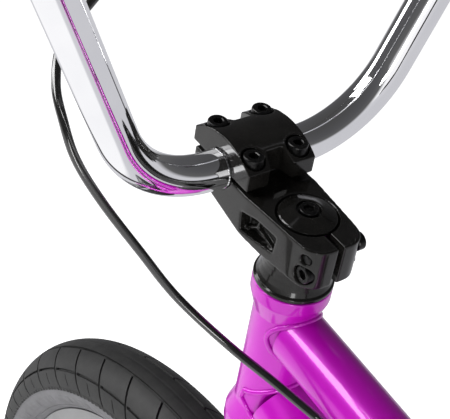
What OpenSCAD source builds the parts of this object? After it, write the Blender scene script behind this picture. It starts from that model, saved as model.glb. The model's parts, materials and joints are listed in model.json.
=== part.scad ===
/* [Wheels] */
// Distance between the axles
wheelbase = 946; // [920:1:980]
// Outer radius of the tyres
tyre_radius = 257.5; // [250:0.5:260]
// Full width of a tyre
tyre_width = 57; // [50:0.5:57]
// Radius of the rim's outer flange
rim_radius = 209.5; // [209:0.5:211]
// Full width of a rim
rim_width = 36; // [32:0.5:37]

/* [Frame] */
// Angle of the head tube from level
head_angle = 74.5; // [74:0.5:75.5]
// Length of the head tube
head_length = 115; // [112:1:118]
// Height of the crank axis above the ground
crank_height = 292; // [288:1:296]
// Distance of the crank axis ahead of the rear axle, along the ground
stay_reach = 345; // [343:1:350]
// Slope of the top tube down to the rear
top_slope = 19; // [17:0.5:20]
// Radius of the top tube
top_tube_r = 17; // [15:0.5:17.5]
// Radius of the down tube
down_tube_r = 19; // [17.5:0.5:20]
// Angle of the seat tube from level
seat_angle = 71; // [70:0.5:72]

/* [Fork and bars] */
// Distance of the front axle ahead of the steering axis
fork_offset = 32.6; // [30:0.1:35]
// Distance of the stem's bar clamp ahead of the steering axis
stem_reach = 50.9; // [50:0.1:52]
// Rise of the handlebar from its clamp to its bends
bar_rise = 216; // [200:1:230]
// Full width of the handlebar
bar_width = 724; // [690:2:740]
// Lean of the uprights from upright, seen from ahead
upright_lean = 23.6; // [20:0.2:25]
// Sweep of the grips to the rear
back_sweep = 11; // [8:0.5:12]

/* [Drive] */
// Length of a crank arm between its centres
crank_length = 175; // [165:1:180]
// Teeth of the front sprocket
sprocket_teeth = 28; // [28]
// Teeth of the rear driver
driver_teeth = 10; // [10]

/* [Hidden] */
$fn = 48;
pitch = 12.7;
paint = [0.72, 0.0, 0.70];
black = [0.05, 0.05, 0.05];
rubber = [0.16, 0.16, 0.16];
chrome = [0.82, 0.82, 0.84];
steel = [0.55, 0.55, 0.57];

// Main points of the side view
lean = 90 - head_angle;
up_dir = [-sin(lean), 0, cos(lean)];
fore_dir = [cos(lean), 0, sin(lean)];
front_axle_at = [wheelbase / 2, 0, tyre_radius];
rear_axle_at = [-wheelbase / 2, 0, tyre_radius];
fork_length = 430;
head_at = front_axle_at + up_dir * fork_length - fore_dir * fork_offset;
crank_at = rear_axle_at + [stay_reach, 0, crank_height - tyre_radius];

// Tubes of the main triangle
top_join = 31.4;
down_join = 84;
seat_dir = [-cos(seat_angle), 0, sin(seat_angle)];
top_dir = [-cos(top_slope), 0, -sin(top_slope)];
top_from = head_at - up_dir * top_join;
top_gap = crank_at - top_from;
top_cross = top_dir[0] * seat_dir[2] - top_dir[2] * seat_dir[0];
top_length = (top_gap[0] * seat_dir[2] - top_gap[2] * seat_dir[0]) / top_cross;
top_to = top_from + top_dir * top_length;
down_from = head_at - up_dir * down_join;
seat_join = norm(top_to - crank_at);
seat_top = seat_join + 42;
seat_tube_r = 15;
post_r = 12.7;
head_r = 22.5;
head_waist_r = 18.6;
head_bore_r = 16.6;
head_band = 9;
head_taper = 13;
tube_wall = 1.4;
bearing_r = 20;
bearing_bore_r = 15.1;
bearing_h = 7;
steerer_r = 14.3;
shell_r = 23;
shell_half = 34;
shell_bore_r = 16;
crank_bearing_r = 20.5;
spindle_r = 9.5;
chain_stay_r = 8.5;
seat_stay_r = 7;
dropout_in = 55;
dropout_t = 6;
dropout_r = 19;
stay_gap_r = 21;
rear_axle_r = 7;
rear_axle_tip_r = 6.5;
front_axle_r = 4.76;
fork_drop_in = 50;
fork_drop_t = 5;

// Handlebar, in the steering frame
bar_r = 11.1;
clamp_z = 45.8;
bar_half = bar_width / 2;
bar_bend_at = 72;
upright_fore = 4;
bar_top_y = bar_bend_at + bar_rise * tan(upright_lean);
bar_top = [stem_reach + upright_fore, bar_top_y, clamp_z + bar_rise];
grip_run = bar_half - bar_top_y;
bar_end = bar_top + [-grip_run * tan(back_sweep), grip_run, grip_run * tan(2)];
grip_dir = unit(bar_end - bar_top);
bend_r = 66;
top_bend_r = 60;
crossbar_z = 190;
crossbar_r = 8;
grip_length = 132;
grip_r = 15;

// Drive line
chain_y = -45;
roller_r = 3.2;
plate_r = 3.9;
tooth_t = 2.8;
tooth_gap_r = 4.6;
tooth_mouth_out = 3.6;
sprocket_pitch_r = pitch / (2 * sin(180 / sprocket_teeth));
driver_pitch_r = pitch / (2 * sin(180 / driver_teeth));
axle_gap = norm(rear_axle_at - crank_at);
drive_tilt = atan2(crank_at[2] - rear_axle_at[2], crank_at[0] - rear_axle_at[0]);
wrap = asin((sprocket_pitch_r - driver_pitch_r) / axle_gap);
run_length = axle_gap * cos(wrap);
front_arc = sprocket_pitch_r * (180 + 2 * wrap) * PI / 180;
rear_arc = driver_pitch_r * (180 - 2 * wrap) * PI / 180;
chain_length = 2 * run_length + front_arc + rear_arc;
link_count = 2 * round(chain_length / pitch / 2);
link_step = chain_length / link_count;
driver_first = ceil(run_length / link_step) * link_step - run_length;
driver_mid = driver_first + 2 * link_step;
driver_phase = 90 + wrap + driver_mid / driver_pitch_r * 180 / PI;
front_first = ceil((run_length * 2 + rear_arc) / link_step) * link_step;
front_mid = front_first - run_length * 2 - rear_arc + 7 * link_step;
sprocket_phase = 270 - wrap + front_mid / sprocket_pitch_r * 180 / PI;

// Cranks and pedals
arm_in = 58;
arm_out = 80;
drive_pin_at = crank_at + [34, 0, 0];
drive_pin_r = 4;
pedal_axle_r = 7.05;
pedal_mid = 134;
pedal_half = [50, 48, 9];

// Rear brake, in a frame on the seat stays
brake_radius = 236;
brake_half = 37;

// Routes of the brake cable
cable_r = 2.5;
bars_route = [
    [335.5, -195, 939], [343, -165, 938], [358, -120, 930], [377, -70, 911],
    [396, -20, 881], [409, 25, 846], [413, 60, 815]
];
loop_route = [
    [413, 60, 815], [405, 88, 796], [390, 102, 780], [377, 106, 764],
    [370, 104, 745], [364, 94, 721], [356, 78, 691], [347, 62, 662],
    [328, 43, 635], [302, 31, 620], [277, 22, 608]
];
frame_route = [
    [276, 22, 607.6], [240, 20, 594], [200, 20, 580], [100, 20, 545], [0, 20, 511],
    [-100, 20, 476], [-150, 21, 461], [-185, 22, 455], [-206, 19, 455],
    [-222, 10, 453], [-230, 1, 446]
];

function unit(v) = v / norm(v);
function lerp(a, b, t) = a + (b - a) * t;
function sided(p, s) = [p[0], s * p[1], p[2]];

// Point of a smooth curve through the points p, at t from 0 to 1 along span i
function pick(p, i) = i < 0 ? 2 * p[0] - p[1]
    : i >= len(p) ? 2 * p[len(p) - 1] - p[len(p) - 2] : p[i];
function smooth_at(p, i, t) =
    let (a = pick(p, i - 1), b = pick(p, i), c = pick(p, i + 1), d = pick(p, i + 2))
    0.5 * (2 * b + (c - a) * t + (2 * a - 5 * b + 4 * c - d) * t * t
    + (3 * b - 3 * c + d - a) * t * t * t);
function smooth_path(p, steps) = concat(
    [for (i = [0:len(p) - 2]) for (k = [0:steps - 1]) smooth_at(p, i, k / steps)],
    [p[len(p) - 1]]);

// Path through the points p, with a bend radius at each corner
function bend_arc(a, b, c, radius, steps) =
    let (into = unit(b - a), out = unit(c - b), turn = acos(into * out),
        cut = radius * tan(turn / 2), inward = unit(out - into * (out * into)),
        start = b - into * cut, centre = start + inward * radius)
    [for (k = [0:steps]) centre + radius * (into * sin(turn * k / steps)
        - inward * cos(turn * k / steps))];
function bent_path(p, radii, steps) = concat([p[0]],
    [for (i = [1:len(p) - 2]) each bend_arc(p[i - 1], p[i], p[i + 1], radii[i - 1], steps)],
    [p[len(p) - 1]]);
function tangent(p, i) = unit(pick(p, i + 1) - pick(p, i - 1));

// Places children in the steering frame: z along the axis, x ahead, y left
module steering() {
    translate(head_at) rotate([0, -lean, 0]) children();
}

// A rod between two points
module rod(a, b, r, r2 = -1) {
    d = b - a;
    l = norm(d);
    translate(a)
        rotate([0, acos(d[2] / l), atan2(d[1], d[0])])
            cylinder(h = l, r1 = r, r2 = r2 < 0 ? r : r2);
}

// A disc across the bike, centred at a point
module across(at, r, y0, y1) {
    translate([at[0], y1, at[2]]) rotate([90, 0, 0]) cylinder(h = y1 - y0, r = r);
}

// A disc on one side of the bike, between two distances from its middle
module across_side(at, r, s, near, far) {
    across(at, r, min(s * near, s * far), max(s * near, s * far));
}

// A closed tube swept along a path; ref is a direction that the path never takes
module swept_tube(path, r, ref, sides = 8) {
    n = len(path);
    rings = [for (i = [0:n - 1])
        let (t = tangent(path, i), s = unit(cross(t, ref)), v = cross(t, s))
        for (k = [0:sides - 1]) path[i] + s * r * cos(k * 360 / sides) + v * r * sin(k * 360 / sides)];
    walls = [for (i = [0:n - 2]) for (k = [0:sides - 1])
        let (a = i * sides + k, b = i * sides + (k + 1) % sides)
        for (f = [[a, b, b + sides], [a, b + sides, a + sides]]) f];
    first = [for (k = [0:sides - 1]) k];
    last = [for (k = [0:sides - 1]) n * sides - 1 - k];
    polyhedron(points = rings, faces = concat([for (w = walls) [w[2], w[1], w[0]]],
        [first, last]), convexity = 8);
}

// ---- Frame ----

module head_tube() {
    waist = head_band + head_taper;
    color(paint) steering() difference() {
        rotate_extrude() polygon([
            [0, 0], [head_r, 0], [head_r, -head_band], [head_waist_r, -waist],
            [head_waist_r, -head_length + waist], [head_r, -head_length + head_band],
            [head_r, -head_length], [0, -head_length]
        ]);
        translate([0, 0, -head_length - 1]) cylinder(h = head_length + 2, r = head_bore_r);
        translate([0, 0, -bearing_h - 1]) cylinder(h = 10, r = bearing_r);
        translate([0, 0, -head_length - 2]) cylinder(h = bearing_h + 3, r = bearing_r);
    }
}

module headset_bearings() {
    color(steel) steering() for (z = [-bearing_h - 1, -head_length + 1]) {
        translate([0, 0, z]) difference() {
            cylinder(h = bearing_h, r = bearing_r);
            translate([0, 0, -1]) cylinder(h = bearing_h + 2, r = bearing_bore_r);
        }
    }
}

// The head tube's outline, which the other tubes are cut to
module head_room() {
    steering() translate([0, 0, -head_length - 20])
        cylinder(h = head_length + 40, r = head_waist_r);
    steering() for (z = [-head_band, -head_length]) {
        translate([0, 0, z]) cylinder(h = head_band, r = head_r);
    }
    steering() translate([0, 0, -head_band - head_taper])
        cylinder(h = head_taper, r1 = head_waist_r, r2 = head_r);
    steering() translate([0, 0, -head_length + head_band])
        cylinder(h = head_taper, r1 = head_r, r2 = head_waist_r);
}

module seat_tube_room() {
    rod(crank_at, crank_at + seat_dir * (seat_top + 60), seat_tube_r);
}

module shell_room() {
    across(crank_at, shell_r, -60, 60);
}

module top_tube() {
    color(paint) difference() {
        rod(top_from, top_to, top_tube_r);
        rod(top_from - top_dir, top_to + top_dir, top_tube_r - tube_wall);
        head_room();
        seat_tube_room();
        steering() translate([0, -40, -200]) cube([80, 80, 300]);
    }
}

module down_tube() {
    color(paint) difference() {
        rod(down_from, crank_at, down_tube_r);
        rod(down_from, crank_at, down_tube_r - tube_wall);
        head_room();
        shell_room();
        seat_tube_room();
        steering() translate([0, -40, -200]) cube([80, 80, 300]);
    }
}

module seat_tube() {
    color(paint) difference() {
        rod(crank_at, crank_at + seat_dir * seat_top, seat_tube_r);
        rod(crank_at, crank_at + seat_dir * (seat_top + 5), post_r + 0.05);
        shell_room();
    }
}

module bottom_bracket_shell() {
    color(paint) difference() {
        across(crank_at, shell_r, -shell_half, shell_half);
        across(crank_at, shell_bore_r, -60, 60);
        across(crank_at, crank_bearing_r, shell_half - 9, 60);
        across(crank_at, crank_bearing_r, -60, -shell_half + 9);
    }
}

module bottom_bracket_bearings() {
    color(steel) for (s = [-1, 1]) difference() {
        across_side(crank_at, crank_bearing_r, s, 25.5, 35.5);
        across(crank_at, spindle_r + 0.05, -60, 60);
    }
}

stay_from = [crank_at[0] - 12, 27, crank_at[2] - 2];
stay_end = [rear_axle_at[0] + 27, 58, rear_axle_at[2] + 4];

// A stay with one bend: two rods that meet in a ball
module stay(from, mid, to, s, r) {
    rod(sided(from, s), sided(mid, s), r);
    rod(sided(mid, s), sided(to, s), r);
    translate(sided(mid, s)) sphere(r + 0.1);
}

module chain_stay(s) {
    rod(sided(stay_from, s), sided(stay_end, s), chain_stay_r);
}

module chain_stays() {
    color(paint) {
        for (s = [-1, 1]) difference() {
            chain_stay(s);
            shell_room();
        }
        across([crank_at[0] - 50, 0, crank_at[2] - 5], 4.5, -29, 29);
    }
}

seat_stay_top = crank_at + seat_dir * (seat_join - 14) + [0, 10, 0];
seat_stay_mid = [-280, 38, 386];
seat_stay_end = [rear_axle_at[0] + 10, 58, rear_axle_at[2] + 22];

module seat_stay(s) {
    stay(seat_stay_top, seat_stay_mid, seat_stay_end, s, seat_stay_r);
}

module seat_stays() {
    color(paint) {
        for (s = [-1, 1]) difference() {
            seat_stay(s);
            seat_tube_room();
            rod(top_to, top_from, top_tube_r);
            across(rear_axle_at, stay_gap_r, -80, 80);
        }
        bridge = lerp(seat_stay_top, seat_stay_mid, 0.55);
        difference() {
            across([bridge[0], 0, bridge[2]], 6, -22, 22);
            for (s = [-1, 1]) seat_stay(s);
        }
        for (s = [-1, 1]) brake_boss(s);
    }
}

module dropouts() {
    color(paint) for (s = [-1, 1]) difference() {
        union() {
            y0 = s > 0 ? dropout_in : -dropout_in - dropout_t;
            across(rear_axle_at, dropout_r, y0, y0 + dropout_t);
            translate([0, y0 + dropout_t, 0]) rotate([90, 0, 0])
                linear_extrude(height = dropout_t) polygon([
                    [rear_axle_at[0] - 4, rear_axle_at[2] + 18],
                    [rear_axle_at[0] + 4, rear_axle_at[2] + 44],
                    [rear_axle_at[0] + 22, rear_axle_at[2] + 34],
                    [rear_axle_at[0] + 50, rear_axle_at[2] + 14],
                    [rear_axle_at[0] + 50, rear_axle_at[2] - 6],
                    [rear_axle_at[0] + 4, rear_axle_at[2] - 18]
                ]);
        }
        across(rear_axle_at, rear_axle_r + 0.1, -80, 80);
        translate([rear_axle_at[0] - 40, -80, rear_axle_at[2] - rear_axle_r - 0.1])
            cube([40, 160, 2 * rear_axle_r + 0.2]);
        chain_stay(s);
        difference() {
            seat_stay(s);
            across(rear_axle_at, stay_gap_r, -80, 80);
        }
    }
}

module seat_clamp() {
    low = crank_at + seat_dir * (seat_top - 16);
    high = crank_at + seat_dir * (seat_top - 1);
    color(black) difference() {
        union() {
            rod(low, high, seat_tube_r + 3.5);
            translate(lerp(low, high, 0.5)) rotate([0, -90 + seat_angle, 0])
                translate([-26, -8, -7.5]) cube([14, 16, 15]);
        }
        rod(low - seat_dir * 9, high + seat_dir * 9, seat_tube_r);
        translate(lerp(low, high, 0.5)) rotate([0, -90 + seat_angle, 0])
            translate([-40, -1, -20]) cube([30, 2, 40]);
        translate(lerp(low, high, 0.5)) rotate([0, -90 + seat_angle, 0])
            translate([-21.5, 30, 0]) rotate([90, 0, 0]) cylinder(h = 60, r = 2.6);
    }
}

module seat_clamp_bolt() {
    mid = crank_at + seat_dir * (seat_top - 8.5);
    color(steel) translate(mid) rotate([0, -90 + seat_angle, 0])
        translate([-21.5, 0, 0]) rotate([90, 0, 0]) difference() {
            union() {
                translate([0, 0, -12]) cylinder(h = 20, r = 2.5);
                translate([0, 0, 8]) cylinder(h = 5, r = 4.2);
            }
            translate([0, 0, 10]) cylinder(h = 4, r = 2.2, $fn = 6);
        }
}

// ---- Wheels ----

module tyre(at) {
    half = tyre_width / 2;
    centre_r = tyre_radius - half;
    wall = 3.2;
    inner_bead = 12.6;
    color(rubber) translate(at) rotate([90, 0, 0]) rotate_extrude($fn = 96) difference() {
        union() {
            translate([centre_r, 0]) circle(half);
            translate([204, -inner_bead - wall]) square([16, 2 * (inner_bead + wall) - 1.4]);
        }
        translate([centre_r - 1, 0]) circle(half - wall);
        translate([190, -inner_bead]) square([20, 2 * inner_bead]);
        translate([190, -40]) square([14, 80]);
        for (s = [-1, 1]) translate([190, s > 0 ? rim_width / 2 - 2.6 : -rim_width / 2 - 18])
            square([rim_radius - 190 + 0.2, 20.6]);
    }
}

module rim(at) {
    half = rim_width / 2;
    color(steel) translate(at) rotate([90, 0, 0]) rotate_extrude($fn = 96) difference() {
        polygon([
            [186, -6], [190, -half + 3], [196, -half], [rim_radius, -half],
            [rim_radius, -half + 2.4], [203, -half + 2.4], [201, -8],
            [201, 8], [203, half - 2.4], [rim_radius, half - 2.4],
            [rim_radius, half], [196, half], [190, half - 3], [186, 6]
        ]);
        polygon([
            [189, -5], [192, -half + 5], [197, -half + 3], [199, -8],
            [199, 8], [197, half - 3], [192, half - 5], [189, 5]
        ]);
    }
}

spoke_count = 36;
spoke_r = 0.95;
lace_turn = 60;
rim_end_r = 187.5;

// One spoke of a wheel, by its number around the wheel
module spoke(at, i, flange_y, pcd_r) {
    side = i % 2 == 0 ? 1 : -1;
    k = floor(i / 2);
    lead = k % 2 == 0 ? 1 : -1;
    start = k * 20 + (side < 0 ? 10 : 0);
    finish = start + lead * lace_turn;
    hub_y = side * (flange_y + lead * 1.7);
    rod(at + [pcd_r * cos(start), hub_y, pcd_r * sin(start)],
        at + [rim_end_r * cos(finish), side * 2.5, rim_end_r * sin(finish)], spoke_r, spoke_r);
}

module spokes(at, flange_y, pcd_r) {
    color(steel) for (i = [0:spoke_count - 1]) spoke(at, i, flange_y, pcd_r);
}

module hub(at, flange_y, flange_r, left_end, right_end, bearing_out, core) {
    color(black) difference() {
        union() {
            across(at, core + 5, -right_end, left_end);
            across(at, bearing_out + 3, left_end - 12, left_end);
            across(at, bearing_out + 3, -right_end, -right_end + 12);
            for (s = [-1, 1]) across(at, flange_r, s * flange_y - 1.7, s * flange_y + 1.7);
        }
        across(at, core, -80, 80);
        across(at, bearing_out, left_end - 8, left_end + 10);
        across(at, bearing_out, -right_end - 10, -right_end + 8);
    }
}

module hub_bearings(at, left_end, right_end, bearing_out, axle_r) {
    color(steel) for (y = [left_end - 8, -right_end]) difference() {
        across(at, bearing_out, y, y + 8);
        across(at, axle_r + 0.05, -90, 90);
    }
}

module axle_nut(at, y, s, af, h, axle_r) {
    color(steel) translate([at[0], y, at[2]]) rotate([-90 * s, 0, 0]) difference() {
        union() {
            cylinder(h = h, r = af / 2 / cos(30), $fn = 6);
            cylinder(h = 1.6, r = af / 2 / cos(30) + 0.8);
        }
        translate([0, 0, -1]) cylinder(h = h + 2, r = axle_r);
    }
}

module front_axle() {
    color(steel) {
        across(front_axle_at, front_axle_r, -70, 70);
        for (s = [-1, 1]) across_side(front_axle_at, 8, s, 44.3, fork_drop_in);
    }
}

module rear_axle() {
    color(steel) {
        across(rear_axle_at, rear_axle_r, -71, 71);
        across(rear_axle_at, rear_axle_tip_r, -78, 78);
        across(rear_axle_at, 10.5, 44.3, dropout_in);
        across(rear_axle_at, 10.5, -dropout_in, -50.4);
    }
}

module front_axle_nuts() {
    for (s = [-1, 1]) axle_nut(front_axle_at, s * (fork_drop_in + fork_drop_t), s, 15, 8, front_axle_r);
}

module rear_axle_nuts() {
    for (s = [-1, 1]) axle_nut(rear_axle_at, s * (dropout_in + dropout_t), s, 19, 10, rear_axle_r);
}

module front_tyre() { tyre(front_axle_at); }
module rear_tyre() { tyre(rear_axle_at); }
module front_rim() { rim(front_axle_at); }
module rear_rim() { rim(rear_axle_at); }
module front_spokes() { spokes(front_axle_at, 33, 27); }
module rear_spokes() { spokes(rear_axle_at, 28, 29); }
module front_hub() { hub(front_axle_at, 33, 31, 44, 44, 13, 9); }
module rear_hub() { hub(rear_axle_at, 28, 33, 44, 36, 15, 11); }
module front_hub_bearings() { hub_bearings(front_axle_at, 44, 44, 13, front_axle_r); }
module rear_hub_bearings() { hub_bearings(rear_axle_at, 44, 36, 15, rear_axle_r); }

// ---- Drive ----

// A toothed disc whose gaps take rollers on the pitch circle
module toothed_disc(teeth, pitch_r, tip, phase, mouth_r) {
    linear_extrude(height = tooth_t, center = true) difference() {
        circle(pitch_r + tip, $fn = 96);
        for (i = [0:teeth - 1]) rotate(phase + i * 360 / teeth) {
            translate([pitch_r, 0]) circle(tooth_gap_r, $fn = 24);
            translate([pitch_r + tooth_mouth_out, 0]) circle(mouth_r, $fn = 24);
        }
    }
}

// Places children in the drive's plane: x from the crank to the rear, y up
module drive_frame(at) {
    translate([at[0], chain_y, at[2]]) rotate([0, -drive_tilt, 0]) rotate([90, 0, 0]) children();
}

module driver() {
    color(steel) difference() {
        union() {
            drive_frame(rear_axle_at) mirror([1, 0, 0])
                toothed_disc(driver_teeth, driver_pitch_r, 2.4, driver_phase - 180, 6.2);
            across(rear_axle_at, 14.5, -50, -36.4);
        }
        across(rear_axle_at, rear_axle_r + 0.05, -90, 90);
    }
}

module sprocket() {
    color(black) difference() {
        union() {
            difference() {
                drive_frame(crank_at) mirror([1, 0, 0])
                    toothed_disc(sprocket_teeth, sprocket_pitch_r, 3.2, sprocket_phase - 180, 5.4);
                for (i = [0:4]) rotate_at(crank_at, i * 72 + 36)
                    across(drive_pin_at, 11, -60, -30);
            }
            across(crank_at, 17, -58, -42);
        }
        across(crank_at, spindle_r + 0.05, -90, 90);
        across(drive_pin_at, drive_pin_r + 0.05, -90, 90);
    }
}

// Turns children about an axis across the bike
module rotate_at(at, angle) {
    translate(at) rotate([0, angle, 0]) translate(-at) children();
}

// Point of the chain's path, at a distance s along it, in the drive's plane
function chain_at(s) =
    let (a = run_length, b = a + rear_arc, c = b + run_length)
    s < a ? [sprocket_pitch_r * sin(wrap), sprocket_pitch_r * cos(wrap)] + s * [cos(wrap), -sin(wrap)]
    : s < b ? let (g = 90 - wrap - (s - a) / driver_pitch_r * 180 / PI)
        [axle_gap + driver_pitch_r * cos(g), driver_pitch_r * sin(g)]
    : s < c ? [axle_gap + driver_pitch_r * sin(wrap), -driver_pitch_r * cos(wrap)]
        + (s - b) * [-cos(wrap), -sin(wrap)]
    : let (g = 270 + wrap - (s - c) / sprocket_pitch_r * 180 / PI)
        [sprocket_pitch_r * cos(g), sprocket_pitch_r * sin(g)];

// Outline around the chain's path, at an offset to either side
module chain_outline(off) {
    steps = 30;
    rs = sprocket_pitch_r + off;
    rd = driver_pitch_r + off;
    front = [for (k = [0:steps]) let (g = 90 - wrap + (180 + 2 * wrap) * k / steps)
        [rs * cos(g), rs * sin(g)]];
    rear = [for (k = [0:steps]) let (g = 270 + wrap + (180 - 2 * wrap) * k / steps)
        [axle_gap + rd * cos(g), rd * sin(g)]];
    polygon(concat(front, rear));
}

module chain() {
    color(steel) drive_frame(crank_at) mirror([1, 0, 0]) {
        for (z = [-4.1, 1.7]) translate([0, 0, z]) linear_extrude(height = 2.4)
            difference() {
                chain_outline(plate_r);
                chain_outline(-plate_r);
            }
        for (i = [0:link_count - 1]) translate(concat(chain_at(i * link_step), [-2]))
            cylinder(h = 4, r = roller_r, $fn = 16);
    }
}

module crank_spindle() {
    color(steel) across(crank_at, spindle_r, -arm_out, arm_out);
}

module crank_arms() {
    for (s = [-1, 1]) {
        pedal_at = crank_at + [-s * crank_length, 0, 0];
        mid = [0, s * (arm_in + arm_out) / 2, 0];
        color(black) difference() {
            union() {
                across_side(crank_at, 17, s, arm_in, arm_out);
                across_side(pedal_at, 14, s, arm_in + 1, arm_out - 1);
                rod(crank_at + mid, pedal_at + mid, 11);
                if (s < 0) across(drive_pin_at, 8, -62, -46.4);
            }
            across(crank_at, spindle_r, -90, 90);
            across_side(pedal_at, pedal_axle_r, s, arm_in - 8, arm_out + 5);
            if (s < 0) across(drive_pin_at, drive_pin_r + 0.05, -60, -40);
        }
    }
}

module crank_bolts() {
    color(steel) {
        for (s = [-1, 1]) difference() {
            across_side(crank_at, 12, s, arm_out, arm_out + 4);
            translate([crank_at[0], s * (arm_out + 2), crank_at[2]]) rotate([-90 * s, 0, 0])
                cylinder(h = 4, r = 4.6, $fn = 6);
        }
        across(drive_pin_at, drive_pin_r, -60, -41.6);
        across(drive_pin_at, 6.5, -43.6, -40.8);
    }
}

module pedal_axles() {
    color(steel) for (s = [-1, 1]) {
        at = crank_at + [-s * crank_length, 0, 0];
        across_side(at, pedal_axle_r, s, arm_in + 1, 172);
    }
}

module pedal(s) {
    at = crank_at + [-s * crank_length, 0, 0];
    mid_y = s * pedal_mid;
    color(black) difference() {
        union() {
            difference() {
                translate(at + [0, mid_y, 0] - pedal_half) cube(2 * pedal_half);
                for (sx = [-1, 1]) for (sy = [-1, 1])
                    translate(at + [sx * 28 - 14, mid_y + sy * 23 - 17, -20]) cube([28, 34, 40]);
            }
            across(at, 13.5, mid_y - pedal_half[1], mid_y + pedal_half[1]);
            for (sx = [-1, 1]) for (j = [-2:2]) translate(at + [sx * 46, mid_y + j * 21, -12])
                cylinder(h = 24, r = 2);
        }
        across(at, 7.1, mid_y - 60, mid_y + 60);
    }
}

module pedal_left() { pedal(1); }
module pedal_right() { pedal(-1); }

// ---- Fork and steering ----

shoulder = [2, 47, -156];
leg_end = [26, 55, -410];
leg_top_r = 13.5;
leg_end_r = 9;
crown_r = 19.5;
steerer_bore_r = 12.4;

module fork_steerer() {
    color(paint) steering() difference() {
        union() {
            translate([0, 0, -130]) cylinder(h = 172, r = steerer_r);
            translate([0, 0, -head_length - 4]) cylinder(h = 10, r = bearing_bore_r - 0.05);
            translate([0, 0, -head_length - 4]) cylinder(h = 3.4, r = crown_r);
            translate([0, 0, -146]) cylinder(h = 27, r = crown_r);
        }
        translate([0, 0, -150]) cylinder(h = 200, r = steerer_bore_r);
    }
}

module fork_legs() {
    color(paint) steering() for (s = [-1, 1]) difference() {
        union() {
            rod([0, s * 8, -133], sided(shoulder, s), 12.5, leg_top_r);
            translate(sided(shoulder, s)) sphere(leg_top_r + 0.2);
            rod(sided(shoulder, s), sided(leg_end, s), leg_top_r, leg_end_r);
            y0 = s > 0 ? fork_drop_in : -fork_drop_in - fork_drop_t;
            translate([fork_offset, y0 + fork_drop_t, -fork_length]) rotate([90, 0, 0])
                linear_extrude(height = fork_drop_t) union() {
                    circle(14.5);
                    polygon([[-14.5, 0], [-15.5, 26], [2.5, 26], [14.5, 0]]);
                }
        }
        translate([0, 0, -200]) cylinder(h = 200, r = crown_r);
        translate([fork_offset, 90, -fork_length]) rotate([90, 0, 0])
            cylinder(h = 180, r = front_axle_r + 0.1);
        translate([fork_offset - front_axle_r - 0.1, -90, -fork_length - 30])
            cube([2 * front_axle_r + 0.2, 180, 30]);
    }
}

module headset_top_cap() {
    color(black) steering() difference() {
        rotate_extrude() polygon([
            [0, -5], [15.05, -5], [15.05, 0.4], [head_r, 0.4], [head_r, 3.4],
            [18.6, 13], [18.2, 19.2], [0, 19.2]
        ]);
        translate([0, 0, -10]) cylinder(h = 40, r = steerer_r);
    }
}

stem_low = 19.4;
stem_high = 44.6;
stem_back = 29.8;
clamp_half = 22;
bolt_side = 14.65;
bolt_fore = 16.9;
pinch_x = -22.5;
pinch_z = [27, 37.5];
pinch_seat = [12.3, 15];
pinch_tip = [17, 16.5];
cap_room_r = 18.5;
pinch_head_r = 5;
pinch_head_h = 4.7;
clamp_bolt_r = 3;
clamp_head_r = 5.75;
clamp_head_z = 58.1;
hex_r = 2.9;
pocket_floor = 15;
pocket_rib = 18.2;

// Outline of the stem seen from above
module stem_plan() {
    corner = 12;
    for (s = [-1, 1]) translate([-stem_back + corner, s * 6.5]) circle(corner);
    translate([-stem_back, -6.5]) square([20, 13]);
    polygon([
        [-stem_back + corner, -18.5], [-14, -19], [24, -clamp_half], [78, -clamp_half],
        [78, clamp_half], [24, clamp_half], [-14, 19], [-stem_back + corner, 18.5]
    ]);
}

// Outline of the stem body seen from the side
module stem_side() {
    polygon([
        [-stem_back, stem_low], [10, stem_low - 2], [28, stem_low - 1], [56, 25],
        [70, 33], [75, 39], [75, clamp_z - 1.6], [26, clamp_z - 1.6], [22, stem_high],
        [-stem_back, stem_high]
    ]);
}

module pinch_shank(i, extra) {
    head_side = i == 0 ? 1 : -1;
    translate([pinch_x, 0, pinch_z[i]]) rotate([-90 * head_side, 0, 0]) {
        translate([0, 0, -pinch_tip[i] - extra * 4])
            cylinder(h = pinch_tip[i] + pinch_seat[i] + extra * 4, r = 3 + extra * 0.1);
        translate([0, 0, pinch_seat[i]]) 
            cylinder(h = pinch_head_h + extra * 4, r = pinch_head_r + extra * 0.5);
    }
}

module stem_body() {
    color(black) steering() difference() {
        intersection() {
            linear_extrude(height = 80) stem_plan();
            translate([0, 60, 0]) rotate([90, 0, 0]) linear_extrude(height = 120) stem_side();
        }
        translate([0, 0, -5]) cylinder(h = 70, r = steerer_r + 0.02);
        translate([0, 0, stem_high - 2]) cylinder(h = 10, r = 17.2);
        translate([0, 0, 10]) cylinder(h = 9.4, r = cap_room_r);
        translate([stem_reach, 60, clamp_z]) rotate([90, 0, 0]) cylinder(h = 120, r = bar_r + 0.02);
        translate([-50, -1.8, 0]) cube([40, 3.6, 60]);
        for (i = [0, 1]) pinch_shank(i, 1);
        for (sx = [-1, 1]) for (sy = [-1, 1])
            translate([stem_reach + sx * bolt_fore, sy * bolt_side, 20])
                cylinder(h = 40, r = clamp_bolt_r + 0.05);
        for (s = [-1, 1]) {
            translate([0, s > 0 ? 35 : -pocket_rib, 0]) rotate([90, 0, 0])
                linear_extrude(height = 35 - pocket_rib) pocket_side();
            translate([0, s > 0 ? pocket_rib + 0.1 : -pocket_floor, 0]) rotate([90, 0, 0])
                linear_extrude(height = pocket_rib + 0.1 - pocket_floor) difference() {
                    pocket_side();
                    pocket_ribs();
                }
        }
    }
}

// Outline of the pocket in the stem's side, and the three ribs that cross it
pocket_middle = [17, 28.5];
module pocket_side() {
    polygon([[-1, 36], [0, 25], [26, 21.5], [27.5, 33], [14.5, 36.3]]);
}

module pocket_ribs() {
    for (to = [[14.5, 38], [28, 20.5], [-2, 24]]) hull() {
        translate(pocket_middle) circle(0.9, $fn = 12);
        translate(to) circle(0.9, $fn = 12);
    }
}

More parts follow.
